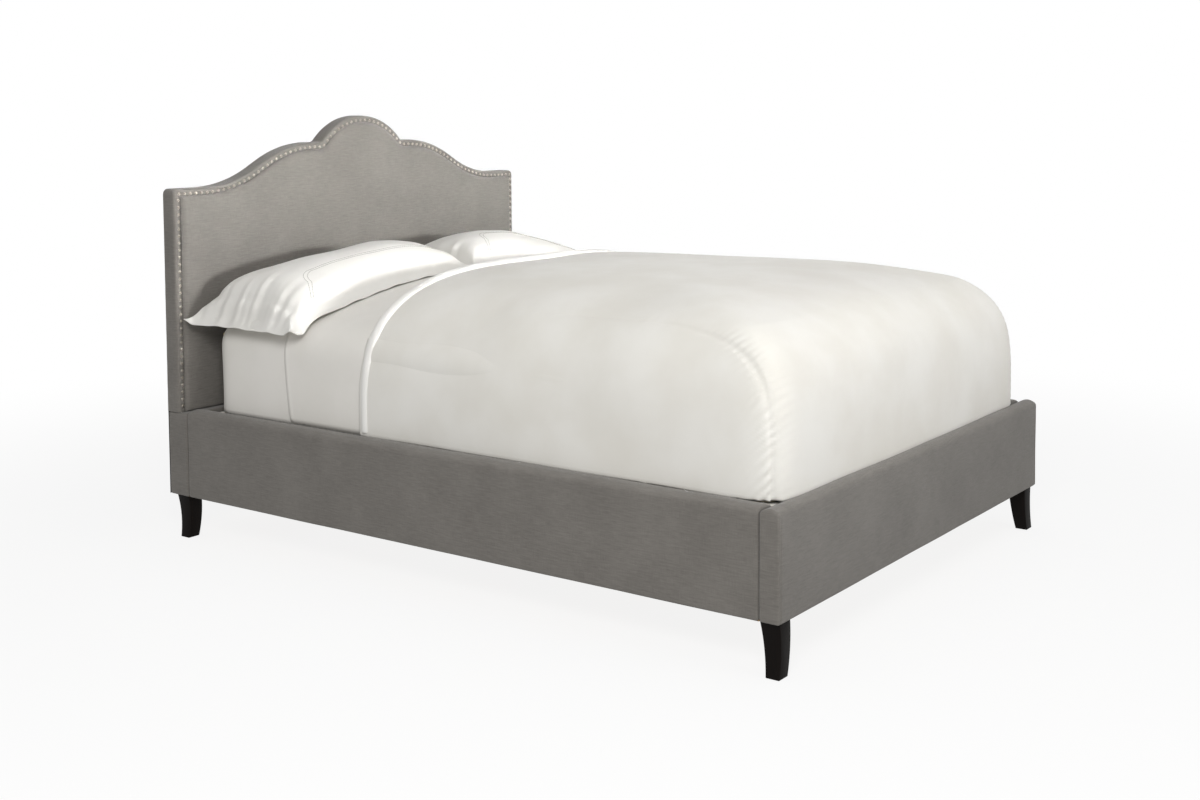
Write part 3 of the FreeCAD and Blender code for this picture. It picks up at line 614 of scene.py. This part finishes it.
def headboard_pad():
    """The padded field inside the nail line: rolled edge, faint pull at each nail, low dome."""
    bottom = BASE_TOP + 0.8 * MM
    roll, roll_depth = 0.016, 0.013
    chunk = 2000    # points measured at a time, to spare memory

    def depth_of(x, z, outline):
        here = x + 1j * z
        gap = np.empty(len(here))
        nearest = np.empty(len(here), int)
        for start in range(0, len(here), chunk):
            some = slice(start, start + chunk)
            span = np.abs(here[some, None] - outline[None, :])
            nearest[some] = span.argmin(axis=1)
            gap[some] = span.min(axis=1)
        low_gap = z - bottom
        edge = np.clip(np.minimum(gap, low_gap * 1.8) / roll, 0.0, 1.0)
        rounded = 1.0 - np.sqrt(1.0 - (1.0 - edge) ** 2)
        pull = (1.0 - between_nails(nail_run[nearest])) * np.exp(-gap / roll) * NAIL_PULL
        dome = (1.0 - np.exp(-gap / 0.12)) * 2.6 * MM
        y = FIELD_Y + 0.4 * MM + rounded * roll_depth + pull - dome
        at = np.stack([x, y, z], axis=1)
        return y + stretched_ripple(at, (0.30, 1.0, 0.16), 1.0 * MM, 5.0)

    pad = under_outline("headboard_pad", BORDER_W + 0.6 * MM, bottom, columns=210, rows=110, bias=0.88,
                        depth_of=depth_of)
    on_open_edges(pad, (bpy.ops.mesh.extrude_region_move, {}), FILL_EDGES)
    chosen = np.array([v.select for v in pad.data.vertices])
    at = points_of(pad)
    at[chosen, 1] = PANEL_Y - PANEL_LAP
    move_points(pad, at)
    weld(pad, 0.00001)
    lay_cloth(pad)
    smooth(pad, 60)
    dress(pad, LINEN, "frame", ["headboard_field"])


def nailheads():
    """Domed heads, one modelled and the rest copied along the nail line."""
    deselect()
    bpy.ops.mesh.primitive_uv_sphere_add(segments=12, ring_count=8, radius=5.5 * MM)
    first = named("nail")
    in_edit_mode(first, (bpy.ops.mesh.bisect, {
        "plane_co": (0, 0, 0), "plane_no": (0, 0, 1), "clear_inner": True, "use_fill": True}))
    at = points_of(first)
    at[:, 2] *= 0.62
    turned = np.stack([at[:, 0], -at[:, 2], at[:, 1]], axis=1)
    move_points(first, turned)
    heads = []
    for centre in nail_centres:
        head = copy_of(first)
        move_points(head, turned + np.array([centre.real, BORDER_Y + 1.4 * MM, centre.imag]))
        heads.append(head)
    bpy.data.objects.remove(first)
    trim = join("nailheads", heads)
    weld(trim, 0.00001)
    smooth(trim, 50)
    dress(trim, SILVER, "frame", ["nailhead_trim"])


def back_cloth():
    """The thin black cloth over the whole back, held taut by its edge."""
    inset = 0.002

    def depth_of(x, z, outline):
        at = np.stack([x, x * 0, z], axis=1)
        slack = stretched_ripple(at, (0.25, 1.0, 0.35), 0.5 * MM, 8.0)
        return back_high.y - 1.1 * MM + slack

    cloth = under_outline("back_cloth", inset, back_low.z + inset, columns=120, rows=90, bias=0.6,
                          depth_of=depth_of)
    modify(cloth, "SOLIDIFY", thickness=0.6 * MM, offset=0.0)
    weld(cloth, 0.00001)
    smooth(cloth, 40)
    dress(cloth, DUST, "frame", ["headboard_back_sheet"])


# ---- padded boards -------------------------------------------------------------------------------
def padded_board(name, low, high, cell, crown=0.0, crown_axis=0, extra=()):
    """A board wrapped in thin foam and linen: eased edges, crowned top, slightly uneven faces."""
    top = high.z - crown
    box_high = Vector((high.x, high.y, top))
    cuts = [even_cuts(low[a], box_high[a], min(cell, (box_high[a] - low[a]) / 8)) for a in range(3)]
    cuts[0] = sorted(cuts[0] + list(extra))
    board = cut_box(name, low, box_high, cuts)
    modify(board, "BEVEL", width=7.0 * MM, segments=3, limit_method="ANGLE",
           angle_limit=math.radians(40))
    at = points_of(board)
    middle = (low[crown_axis] + high[crown_axis]) / 2
    half = (high[crown_axis] - low[crown_axis]) / 2
    across = np.clip(np.abs(at[:, crown_axis] - middle) / half, 0.0, 1.0)
    lift = np.clip((at[:, 2] - (top - 0.03)) / 0.03, 0.0, 1.0)
    at[:, 2] += crown * lift * (1.0 - across ** 2)
    move_points(board, at)
    puff(board, stretched_ripple(at, (0.22, 0.22, 0.10), 0.9 * MM, low.y) - 0.4 * MM)
    return board


def finish_board(board, run, replaced):
    modify(board, "SUBSURF", levels=1, render_levels=1)
    lay_cloth(board, run)
    smooth(board)
    dress(board, LINEN, "frame", replaced)


def footboard():
    """The low board at the foot, with a seam down each end of its front."""
    fold_x = HALF_W - 9.0 * MM
    near = [fold_x + d * MM for d in (-5.0, -2.5, 0.0, 2.5)]
    board = padded_board("footboard_pad", foot_low, foot_high, cell=0.028, crown=0.012, crown_axis=1,
                         extra=near + [-x for x in near])
    at = points_of(board)
    front = np.clip((foot_low.y + 0.010 - at[:, 1]) / 0.006, 0.0, 1.0)
    groove = np.exp(-((np.abs(at[:, 0]) - fold_x) / (2.2 * MM)) ** 2)
    height = np.clip((foot_high.z - 0.030 - at[:, 2]) / 0.012, 0.0, 1.0)
    at[:, 1] += front * groove * height * 3.2 * MM
    move_points(board, at)
    finish_board(board, "x", ["footboard_cover"])


def side_rail(name):
    node = "side_rail_cover_" + name
    low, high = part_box(node)
    board = padded_board("side_rail_pad_" + name, low, high, cell=0.030, crown=0.012)
    finish_board(board, "y", [node])


def headboard_base():
    board = padded_board("headboard_base_pad", base_low, base_high, cell=0.028)
    finish_board(board, "x", ["headboard_base_cover"])


# ---- legs ----------------------------------------------------------------------------------------
def eased_leg(node):
    """A leg with its arrises softened."""
    leg = copy_of(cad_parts[node])
    leg.parent = None
    for key in list(leg.keys()):
        del leg[key]
    leg.name = leg.data.name = node + "_eased"
    in_edit_mode(leg, (bpy.ops.mesh.remove_doubles, {"threshold": 0.00005}),
                 (bpy.ops.mesh.dissolve_limited, {"angle_limit": math.radians(0.5)}))
    modify(leg, "BEVEL", width=1.8 * MM, segments=3, limit_method="ANGLE",
           angle_limit=math.radians(35))
    smooth(leg, 35)
    dress(leg, ESPRESSO, "frame", [node])


# ---- bedding shapes ------------------------------------------------------------------------------
SHOULDER_R = 0.075
CROWN_RISE = 0.120
BED_MIDDLE_Y = (mattress_low.y + mattress_high.y) / 2
BED_HALF_L = (mattress_high.y - mattress_low.y) / 2
SIDE_CUTS = np.linspace(0.1, 0.9, 9)
CROWN_POWER = 6     # the crown runs nearly level to the ends of the bed


def mattress_surface(c, grow, low_z):
    """Points of a unit half box, on the mattress grown outwards by grow: x, y, z of each."""
    half = np.array([MATTRESS_HALF_W + grow, BED_HALF_L + grow, MATTRESS_TOP - CROWN_RISE + grow - low_z])
    p = c * half
    limit = half - SHOULDER_R
    inner = np.clip(p, -limit, limit)
    inner[:, 2] = np.minimum(p[:, 2], limit[2])
    out = p - inner
    length = np.linalg.norm(out, axis=1)
    curved = length > 1e-9
    p[curved] = inner[curved] + out[curved] / length[curved, None] * SHOULDER_R
    raised = np.clip((p[:, 2] - (half[2] - SHOULDER_R)) / SHOULDER_R, 0.0, 1.0)
    across = np.clip(np.abs(p[:, 0]) / half[0], 0.0, 1.0)
    along = np.clip(np.abs(p[:, 1]) / half[1], 0.0, 1.0)
    p[:, 2] += raised ** 2 * CROWN_RISE * (1.0 - across ** 2) * (1.0 - along ** CROWN_POWER)
    return p + np.array([0.0, BED_MIDDLE_Y, low_z])


def end_weighted(count, weight=0.55):
    """Places from -1 to 1, closer together towards both ends."""
    t = np.linspace(-1.0, 1.0, count + 1)
    return (1.0 - weight) * t + weight * np.sin(math.pi * t / 2)


def half_box(name, across, along, upward, y_range=(-1.0, 1.0)):
    """A unit box with no bottom, cut at the places given."""
    cuts = [across[1:-1], [y for y in along if y_range[0] < y < y_range[1]], upward]
    return cut_box(name, (-1, y_range[0], 0), (1, y_range[1], 1), cuts)


def open_faces(box, *choices):
    """Deletes the faces of a box for which any of the choices is true of the centre."""
    mesh = bmesh.new()
    mesh.from_mesh(box.data)
    gone = [f for f in mesh.faces if any(choice(f.calc_center_median()) for choice in choices)]
    bmesh.ops.delete(mesh, geom=gone, context="FACES")
    mesh.to_mesh(box.data)
    mesh.free()


def fitted_sheet():
    """The bottom sheet, pulled tight over the mattress, with drag lines at its corners."""
    sheet = half_box("fitted_sheet_cloth", end_weighted(44), end_weighted(56), SIDE_CUTS)
    open_faces(sheet, lambda m: m.z < 0.001)
    low_z = mattress_low.z + 2 * MM
    move_points(sheet, mattress_surface(points_of(sheet), 1.5 * MM, low_z))
    modify(sheet, "SUBSURF", levels=1, render_levels=1)
    at = points_of(sheet)
    corner = (np.clip(np.abs(at[:, 0]) / MATTRESS_HALF_W - 0.78, 0, 1) / 0.22
              * np.clip(np.abs(at[:, 1] - BED_MIDDLE_Y) / BED_HALF_L - 0.84, 0, 1) / 0.16)
    drag = stretched_ripple(at, (0.05, 0.05, 0.22), 5.0 * MM, 2.0) * corner
    puff(sheet, drag + stretched_ripple(at, (0.3, 0.3, 0.2), 1.2 * MM, 4.0))
    modify(sheet, "SOLIDIFY", thickness=0.8 * MM, offset=1.0)
    smooth(sheet)
    dress(sheet, SHEET, "mattress", ["fitted_sheet"])


def top_sheet():
    """The flat sheet, its head edge turned back in a hem, hanging down both sides and the foot."""
    grow = 4.0 * MM
    head = (top_sheet_high.y - BED_MIDDLE_Y) / (BED_HALF_L + grow)
    sheet = half_box("top_sheet_cloth", end_weighted(44), end_weighted(56), SIDE_CUTS, (-1.0, head))
    open_faces(sheet, lambda m: m.z < 0.001, lambda m: m.y > head - 0.001)
    move_points(sheet, mattress_surface(points_of(sheet), grow, HEM_Z - 9 * MM))
    modify(sheet, "SUBSURF", levels=1, render_levels=1)
    at = points_of(sheet)
    side = np.clip(np.abs(at[:, 0]) / MATTRESS_HALF_W - 0.55, 0, 1)
    pulled = stretched_ripple(at, (0.10, 0.16, 0.5), 5.0 * MM, 6.0) * side
    edge = np.clip(1.0 - (top_sheet_high.y - at[:, 1]) / 0.014, 0.0, 1.0)
    puff(sheet, np.clip(pulled, -0.3 * MM, 1.0) + 1.0 * MM + edge ** 2 * 2.4 * MM)
    at = points_of(sheet)
    hanging = np.clip(1.0 - (at[:, 2] - HEM_Z) / 0.28, 0.0, 1.0)
    at[:, 1] -= hanging ** 2 * np.clip((at[:, 1] - 0.30) / 0.34, 0.0, 1.0) * 0.022
    move_points(sheet, at)
    modify(sheet, "SOLIDIFY", thickness=1.0 * MM, offset=1.0)
    smooth(sheet)
    dress(sheet, SHEET, "mattress", ["top_sheet"])


# ---- duvet ---------------------------------------------------------------------------------------
DUVET_MIDDLE_Y = -0.10
DUVET_HALF_W = duvet_high.x
DUVET_REACH = DUVET_MIDDLE_Y - duvet_low.y
DUVET_RISE = duvet_high.z - duvet_low.z
DUVET_GAP = 9.0 * MM        # from the mattress to the duvet's underside
PLAN_POWER = 18.0           # how square its corners are in plan
SECTION_POWER = 3.35        # and how full its shoulders are
FOOT_POWER_MORE = 1.05      # fuller still at the foot
HEAD_DROP = 0.045           # share of its height lost towards the head


def duvet_surface(c):
    """Points of a unit box on the duvet: squarish in plan, full shoulders, a rounded foot."""
    foot = c[:, 1] < 0
    toward_foot = np.clip(-c[:, 1], 0.0, 1.0)
    power = SECTION_POWER + FOOT_POWER_MORE * toward_foot
    x, y, z = np.abs(c[:, 0]), np.where(foot, np.abs(c[:, 1]), 0.0), c[:, 2]
    plan = (x ** PLAN_POWER + y ** PLAN_POWER) ** (1 / PLAN_POWER)
    reach = (plan ** power + z ** power) ** (-1 / power)
    head_run = duvet_high.y - DUVET_MIDDLE_Y
    lower = 1.0 - HEAD_DROP * np.clip(c[:, 1], 0.0, 1.0) ** 1.5
    return np.stack([
        reach * c[:, 0] * DUVET_HALF_W,
        np.where(foot, DUVET_MIDDLE_Y + reach * c[:, 1] * DUVET_REACH, DUVET_MIDDLE_Y + c[:, 1] * head_run),
        HEM_Z - 4.5 * MM * (1.0 - z) ** 6 + reach * z * DUVET_RISE * lower], axis=1)


def duvet():
    """A full, softly filled duvet cover tucked inside the rails."""
    across = end_weighted(64)
    along = np.concatenate([end_weighted(164)[:83], np.linspace(0, 1, 25)[1:]])
    upward = 1.0 - (1.0 - np.linspace(0, 1, 76)[1:-1]) ** 1.1
    shell = half_box("duvet_cover", across, along, upward)
    open_faces(shell, lambda m: m.z < 0.001, lambda m: m.y > 0.999)
    c = points_of(shell)
    at = duvet_surface(c)
    # distance from the seam, which climbs each corner of the foot and runs back along the side's top
    panel = (np.abs(np.minimum(c[:, 1], 0.0)) ** 5 + c[:, 2] ** 5) ** 0.2
    seam = np.hypot(1.0 - np.abs(c[:, 0]), 1.0 - panel)
    move_points(shell, at)
    normal = normals_of(shell)
    fade = np.clip(0.25 - c[:, 1] * 2.0, 0.0, 1.0)
    corner = np.clip((-c[:, 1] - 0.80) / 0.15, 0.0, 1.0)
    run = at[:, 1] + at[:, 2] + ripple(at, 0.09, 0.016, 2.0)
    gather_run, gather_reach, sewn_reach = 0.0042, 0.060, 0.016
    gathers = np.sin(run / gather_run) * np.exp(-(seam / (gather_reach + 0.010 * corner)) ** 2)
    fade *= np.where(c[:, 0] < 0, 1.0, 0.35)    # the far seam lies flatter
    sewn = np.exp(-(seam / sewn_reach) ** 2) * fade * (2.2 + 1.6 * corner) * MM
    full_corner = np.exp(-((1.0 - np.abs(c[:, 0])) ** 2 + (1.0 + c[:, 1]) ** 2) / 0.16 ** 2)
    waves = (stretched_ripple(at, (0.42, 0.34, 0.30), 9.0 * MM, 12.0) - 4.0 * MM) * (1.0 - full_corner)
    height = gathers * fade * (0.9 + 2.3 * corner) * MM - sewn + waves
    move_points(shell, at + normal * height[:, None])
    inner = copy_of(shell)
    inside = np.clip(c, -1, 1)
    head = (duvet_high.y - BED_MIDDLE_Y) / (BED_HALF_L + DUVET_GAP)
    middle = (DUVET_MIDDLE_Y - BED_MIDDLE_Y) / (BED_HALF_L + DUVET_GAP)
    inside[:, 1] = middle + c[:, 1] * np.where(c[:, 1] < 0, 1 + middle, head - middle)
    move_points(inner, mattress_surface(inside, DUVET_GAP, HEM_Z))
    in_edit_mode(inner, (bpy.ops.mesh.flip_normals, {}))
    cover = join("duvet_cover", [shell, inner])
    bridge = {"number_cuts": 3, "smoothness": 1.0, "interpolation": "SURFACE"}
    on_open_edges(cover, (bpy.ops.mesh.bridge_edge_loops, bridge), SELECT_ALL, FACE_OUTWARD)
    smooth(cover)
    dress(cover, DUVET, "duvet", ["duvet"])


def duvet_trim():
    """The rolled band sewn along the duvet's head edge, from hem to hem."""
    steps, around = 260, 14
    angle = math.pi * np.linspace(0.0, 1.0, steps + 1)
    bx, bz = np.cos(angle), np.sin(angle)
    reach = (np.abs(bx) ** SECTION_POWER + np.abs(bz) ** SECTION_POWER) ** (-1 / SECTION_POWER)
    x = reach * bx * DUVET_HALF_W
    z = HEM_Z + reach * bz * DUVET_RISE * (1.0 - HEAD_DROP)
    run = run_length(x + 1j * z)
    even = np.linspace(0.0, run[-1], steps + 1)
    x, z = np.interp(even, run, x), np.interp(even, run, z)
    tangent = np.gradient(x) + 1j * np.gradient(z)
    outward = -1j * tangent / np.abs(tangent)
    side = np.clip((z - HEM_Z) / DUVET_RISE, 0.0, 1.0)
    width = 0.012 + 0.012 * side ** 1.5
    thick = 0.008 + 0.007 * side ** 1.5
    turn = np.linspace(0.0, 2 * math.pi, around + 1)
    sag = ripple(np.stack([x, x * 0, z], axis=1), 0.16, 2.0 * MM, 21.0)
    sunk = 3.0 * MM

    def place(c, r):
        lift = np.sin(turn[r]) * thick[c] - sunk + sag[c]
        return (x[c] + outward[c].real * lift,
                duvet_high.y - 0.016 + np.cos(turn[r]) * width[c] + sag[c],
                z[c] + outward[c].imag * lift)

    band = thread_grid("duvet_band", steps, around, place)
    weld(band)
    cap_holes(band)
    modify(band, "SUBSURF", levels=1, render_levels=1)
    smooth(band)
    dress(band, TRIM, "duvet")


# ---- pillows -------------------------------------------------------------------------------------
def sheet_height(x, y):
    """The top sheet's height under a place, near enough for a pillow to lie on."""
    half_x, half_y = MATTRESS_HALF_W + 5 * MM, BED_HALF_L + 5 * MM
    across = np.clip(np.abs(x) / half_x, 0.0, 1.0)
    along = np.clip(np.abs(y - BED_MIDDLE_Y) / half_y, 0.0, 1.0)
    edge = MATTRESS_TOP - CROWN_RISE + 5 * MM
    crown = CROWN_RISE * (1.0 - across ** 2) * (1.0 - along ** CROWN_POWER)
    drop_x = np.clip((np.abs(x) - (half_x - SHOULDER_R)) / SHOULDER_R, 0.0, 1.0)
    drop_y = np.clip((np.abs(y - BED_MIDDLE_Y) - (half_y - SHOULDER_R)) / SHOULDER_R, 0.0, 1.0)
    drop = np.clip(np.hypot(drop_x, drop_y), 0.0, 1.0)
    return edge + crown - SHOULDER_R * 0.35 * (1.0 - np.sqrt(1.0 - drop ** 2))


PILLOW_HALF_W, PILLOW_HALF_L = 0.412, 0.243
SEAM_X, SEAM_Y = 0.915, 0.865       # where the flange starts, as a share of the half width and length
ROW_APART = 9.0 * MM
STITCH_PITCH = 0.0085


def pillow(name):
    """A plump pillow in a flanged case, gathered along its seam, with a double row of stitches."""
    low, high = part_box("pillow_" + name)
    middle = (low.x + high.x) / 2
    centre_y = (low.y + high.y) / 2 + 0.022
    body = cut_box("pillow_body_" + name, (-1, -1, -1), (1, 1, 1),
                   [end_weighted(84, 0.45)[1:-1], end_weighted(56, 0.45)[1:-1], []])
    c = points_of(body)
    u, v, top = c[:, 0], c[:, 1], c[:, 2] > 0
    in_u = np.clip(np.abs(u) / SEAM_X, 0.0, 1.0)
    in_v = np.clip(np.abs(v) / SEAM_Y, 0.0, 1.0)
    out_u = np.clip((np.abs(u) - SEAM_X) / (1 - SEAM_X), 0.0, 1.0)
    out_v = np.clip((np.abs(v) - SEAM_Y) / (1 - SEAM_Y), 0.0, 1.0)
    out = np.maximum(out_u, out_v)
    full = (1 - in_u ** 3.2) ** 0.5 * (1 - in_v ** 2.6) ** 0.5
    x = middle + u * PILLOW_HALF_W * (1.0 - 0.040 * (1 - v ** 2) * np.abs(u) ** 4)
    y = centre_y + v * PILLOW_HALF_L * (1.0 - 0.055 * (1 - u ** 2) * np.abs(v) ** 4)
    place = np.stack([x, y, x * 0], axis=1)
    seed = 3.0 * middle
    wave = ripple(place, 0.055, 6.0 * MM, seed) * out
    seam_z = 0.040 * (1 - out) ** 1.3 + wave + out_u * out_v * 0.016
    floor = sheet_height(x, y) + 5 * MM + 12 * MM * np.clip((np.abs(x) - 0.60) / 0.12, 0.0, 1.0)
    upper = full * (0.098 + 0.012 * v) * (1 + 0.6 * ripple(place, 0.26, 0.20, seed + 4))
    lower = full ** 0.5 * 0.036
    z = floor + seam_z + np.where(top, upper + 1.6 * MM, -lower - 1.6 * MM)
    ends = np.exp(-(1 - in_u) / 0.13) * (1 - out) * np.clip(1 - in_v ** 6, 0, 1)
    fronts = np.exp(-(1 - in_v) / 0.13) * (1 - out) * np.clip(1 - in_u ** 6, 0, 1)
    gathers = (stretched_ripple(place, (0.16, 0.022, 1.0), 20.0 * MM, seed + 1) * ends
               + stretched_ripple(place, (0.024, 0.14, 1.0), 5.0 * MM, seed + 2) * fronts)
    creases = stretched_ripple(place, (0.11, 0.05, 1.0), 3.0 * MM, seed + 3) * full
    z += np.where(top, gathers + creases, 0.0)
    z = np.maximum(z, floor - 3.0 * MM)
    move_points(body, np.stack([x, y, z], axis=1))
    modify(body, "SUBSURF", levels=1, render_levels=1)
    smooth(body)
    dress(body, PILLOW, "pillow_" + name, ["pillow_" + name])
    for row, apart in (("outer", 0.0), ("inner", ROW_APART)):
        stitches("pillow_stitches_%s_%s" % (row, name), body, name,
                 (middle - 0.255 + apart, middle + PILLOW_HALF_W * 0.89),
                 (centre_y - PILLOW_HALF_L * 0.84, centre_y - 0.112 - apart))


def stitches(label, body, name, x_range, y_range):
    """A row of small stitches on a pillow: up from its front, round a corner, then along it."""
    x0, x1 = x_range
    y0, y1 = y_range
    lean, bend, drift = 0.030, 0.045, 0.050
    corner = complex(x0 + bend, y1 - bend)
    path = straight(complex(x0 - lean, y0), complex(x0, y1 - bend), 60)
    path += arc(corner, bend, math.pi, math.pi / 2, 12)
    path += straight(path[-1], complex(x1, y1 - drift), 190)
    path = np.array(path)
    run = run_length(path)
    even = np.linspace(0.0, run[-1], 420)
    path = np.interp(even, run, path.real) + 1j * np.interp(even, run, path.imag)
    bed = []
    for spot in path:
        hit, at, normal, _ = body.ray_cast(Vector((spot.real, spot.imag, 2.0)), Vector((0, 0, -1)))
        bed.append(at + normal * 0.2 * MM if hit else bed[-1])
    bed = np.array(bed)
    along = np.gradient(bed, axis=0)
    along /= np.linalg.norm(along, axis=1)[:, None]
    side_way = np.cross(along, (0.0, 0.0, 1.0))
    side_way /= np.linalg.norm(side_way, axis=1)[:, None]
    rise = np.cross(side_way, along)
    radius = 0.9 * MM * (0.72 + 0.28 * np.sin(even * 2 * math.pi / STITCH_PITCH))
    turn = np.linspace(0.0, 2 * math.pi, 7)

    def place(c, r):
        swing = side_way[c] * np.cos(turn[r])[:, None] + rise[c] * np.sin(turn[r])[:, None]
        return tuple((bed[c] + swing * radius[c][:, None]).T)

    thread = thread_grid(label, len(bed) - 1, len(turn) - 1, place)
    weld(thread, 0.00005)
    cap_holes(thread)
    smooth(thread)
    dress(thread, THREAD, "pillow_" + name)


# ---- mattress and foundation ---------------------------------------------------------------------
def mattress():
    """The mattress in its ticking, quilted in diamonds on top."""
    quilt_pitch, quilt_depth = 0.16, 5.0 * MM
    body = half_box("mattress_ticking", end_weighted(40), end_weighted(52), SIDE_CUTS)
    move_points(body, mattress_surface(points_of(body), -1.5 * MM, mattress_low.z + 0.5 * MM))
    modify(body, "SUBSURF", levels=1, render_levels=1)
    at = points_of(body)
    turn = math.pi / quilt_pitch
    quilt = np.sin(at[:, 0] * turn) * np.sin((at[:, 1] - BED_MIDDLE_Y) * turn)
    level = np.clip((at[:, 2] - 0.66) / 0.04, 0, 1)
    puff(body, (np.abs(quilt) ** 0.6 - 1.0) * level * quilt_depth)
    smooth(body, 50)
    dress(body, TICKING, "mattress", ["mattress_cover"])


def foundation():
    """The box foundation in the same ticking."""
    low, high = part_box("foundation_cover")
    cuts = [even_cuts(low[a], high[a], 0.04) for a in range(3)]
    body = cut_box("foundation_ticking", low, high, cuts)
    modify(body, "BEVEL", width=10 * MM, segments=3, limit_method="ANGLE", angle_limit=math.radians(40))
    at = points_of(body)
    puff(body, ripple(at, 0.25, 0.8 * MM, 1.0) - 0.6 * MM)
    smooth(body, 50)
    dress(body, TICKING, "foundation", ["foundation_cover", "foundation_dust_sheet"])


# ---- materials of the pieces that stay as built --------------------------------------------------
STAYS = {
    "headboard_panel": PLYWOOD, "headboard_post": PINE_UPRIGHT, "headboard_stretcher": PINE_ACROSS,
    "headboard_base_core": PINE_ACROSS, "footboard_core": PINE_ACROSS, "side_rail_core": PINE_ALONG,
    "slat_cleat": PINE_ALONG, "slat_screws": STEEL, "slat": PINE_ACROSS, "centre_leg_screws": STEEL,
    "centre_leg": PINE_UPRIGHT, "leveller": NYLON, "leg_plates": STEEL, "leg_bolts": STEEL,
    "hook_plate": STEEL, "panel_screws": STEEL, "foundation_frame": PINE_ACROSS, "mattress_core": FOAM,
}


def finish_frame_nodes():
    """Finishes for the CAD nodes that nothing replaces, by the start of the name."""
    for name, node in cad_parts.items():
        for start, material in STAYS.items():
            if name.startswith(start):
                node.data.materials.clear()
                node.data.materials.append(material)
                break


# ---- studio --------------------------------------------------------------------------------------
FILL_LIGHT = 0.42    # strength of the even light on the bed from all round, beside 1 for the backdrop
FLOOR_GLOW = 0.85    # share of the floor near the bed that shines evenly, so shadows stay faint


# name, place, target, (width, height), watts, spread in degrees
SOFTBOXES = [
    ("overhead", (0.4, -0.5, 3.4), (0.0, 0.2, 0.4), (2.6, 2.6), 12.0, 180.0),
    ("side_key", (-3.6, -2.4, 2.7), (-0.6, -0.1, 0.6), (1.6, 1.2), 90.0, 180.0),
    ("foot_key", (-0.2, -4.8, 2.0), (0.0, -0.4, 0.6), (2.4, 1.6), 26.0, 180.0),
    ("headboard_light", (0.3, -4.5, 1.50), (0.0, 1.07, 1.26), (3.6, 0.4), 12.0, 18.0),
    ("foot_light", (0.3, -4.8, 1.30), (0.0, -1.1, 0.72), (2.0, 0.3), 0.9, 16.0),
]


def studio():
    """A white sweep: a floor that shines evenly near the bed, a plain backdrop and softboxes."""
    deselect()
    bpy.ops.mesh.primitive_circle_add(vertices=96, radius=40.0, fill_type="NGON")
    floor = named("studio_floor")
    f = Finish("pale_floor", Specular_IOR_Level=0.1, Roughness=0.9)
    place = f.place()
    away = f.node("ShaderNodeVectorMath", {0: place}, output="Value", operation="LENGTH")
    f.colour(rgb(246, 246, 245))
    seen = f.node("ShaderNodeLightPath", output="Is Camera Ray")
    strength = seen * (1 - FILL_LIGHT) + FILL_LIGHT
    glow = f.node("ShaderNodeEmission", {"Color": (1, 1, 1, 1), "Strength": strength})
    mixed = f.tree.nodes.new("ShaderNodeMixShader")
    f.put(mixed.inputs[0], away.above(1.6, 2.4) * (1 - FLOOR_GLOW) + FLOOR_GLOW)
    f.tree.links.new(f.shader.outputs[0], mixed.inputs[1])
    f.tree.links.new(glow.socket, mixed.inputs[2])
    f.tree.links.new(mixed.outputs[0], f.tree.nodes["Material Output"].inputs["Surface"])
    floor.data.materials.append(f.material)

    world = bpy.data.worlds.new("studio")
    world.use_nodes = True
    nodes, links = world.node_tree.nodes, world.node_tree.links
    nodes["Background"].inputs["Color"].default_value = (1, 1, 1, 1)
    seen = nodes.new("ShaderNodeLightPath").outputs["Is Camera Ray"]
    strength = nodes.new("ShaderNodeMapRange")
    links.new(seen, strength.inputs["Value"])
    strength.inputs["To Min"].default_value = FILL_LIGHT
    strength.inputs["To Max"].default_value = 1.0
    links.new(strength.outputs[0], nodes["Background"].inputs["Strength"])
    bpy.context.scene.world = world

    for name, at, target, size, power, spread in SOFTBOXES:
        light = bpy.data.lights.new(name, "AREA")
        light.shape = "RECTANGLE"
        light.size, light.size_y = size
        light.energy = power
        light.spread = math.radians(spread)
        lamp = bpy.data.objects.new(name, light)
        bpy.context.collection.objects.link(lamp)
        lamp.location = at
        lamp.rotation_euler = (Vector(target) - Vector(at)).to_track_quat("-Z", "Y").to_euler()

    bpy.context.scene.view_settings.view_transform = "Standard"


def camera():
    """The view: eye height, a slight look down, and a lens shifted down to take in the feet."""
    yaw, pitch, roll = math.radians(36.02), math.radians(-3.876), math.radians(-0.31)
    look = Vector((math.cos(yaw) * math.cos(pitch), math.sin(yaw) * math.cos(pitch), math.sin(pitch)))
    level = Vector((math.sin(yaw), -math.cos(yaw), 0.0))
    upright = level.cross(look)
    right = level * math.cos(roll) + upright * math.sin(roll)
    up = upright * math.cos(roll) - level * math.sin(roll)
    lens = bpy.data.cameras.new("camera")
    lens.lens = 46.51
    lens.sensor_width = 36.0
    lens.shift_y = -0.157
    eye = bpy.data.objects.new("camera", lens)
    bpy.context.collection.objects.link(eye)
    eye.rotation_mode = "QUATERNION"
    turn = [[right[i], up[i], -look[i]] for i in range(3)]
    eye.rotation_quaternion = Matrix(turn).to_quaternion()
    eye.location = (-3.9897, -2.8875, 1.3674)
    bpy.context.scene.camera = eye


finish_frame_nodes()
headboard_rim()
headboard_pad()
nailheads()
back_cloth()
headboard_base()
footboard()
for side_name in SIDES:
    side_rail(side_name)
    eased_leg("foot_leg_" + side_name)
    eased_leg("head_leg_" + side_name)
foundation()
mattress()
fitted_sheet()
top_sheet()
duvet()
duvet_trim()
for side_name in SIDES:
    pillow(side_name)
studio()
camera()
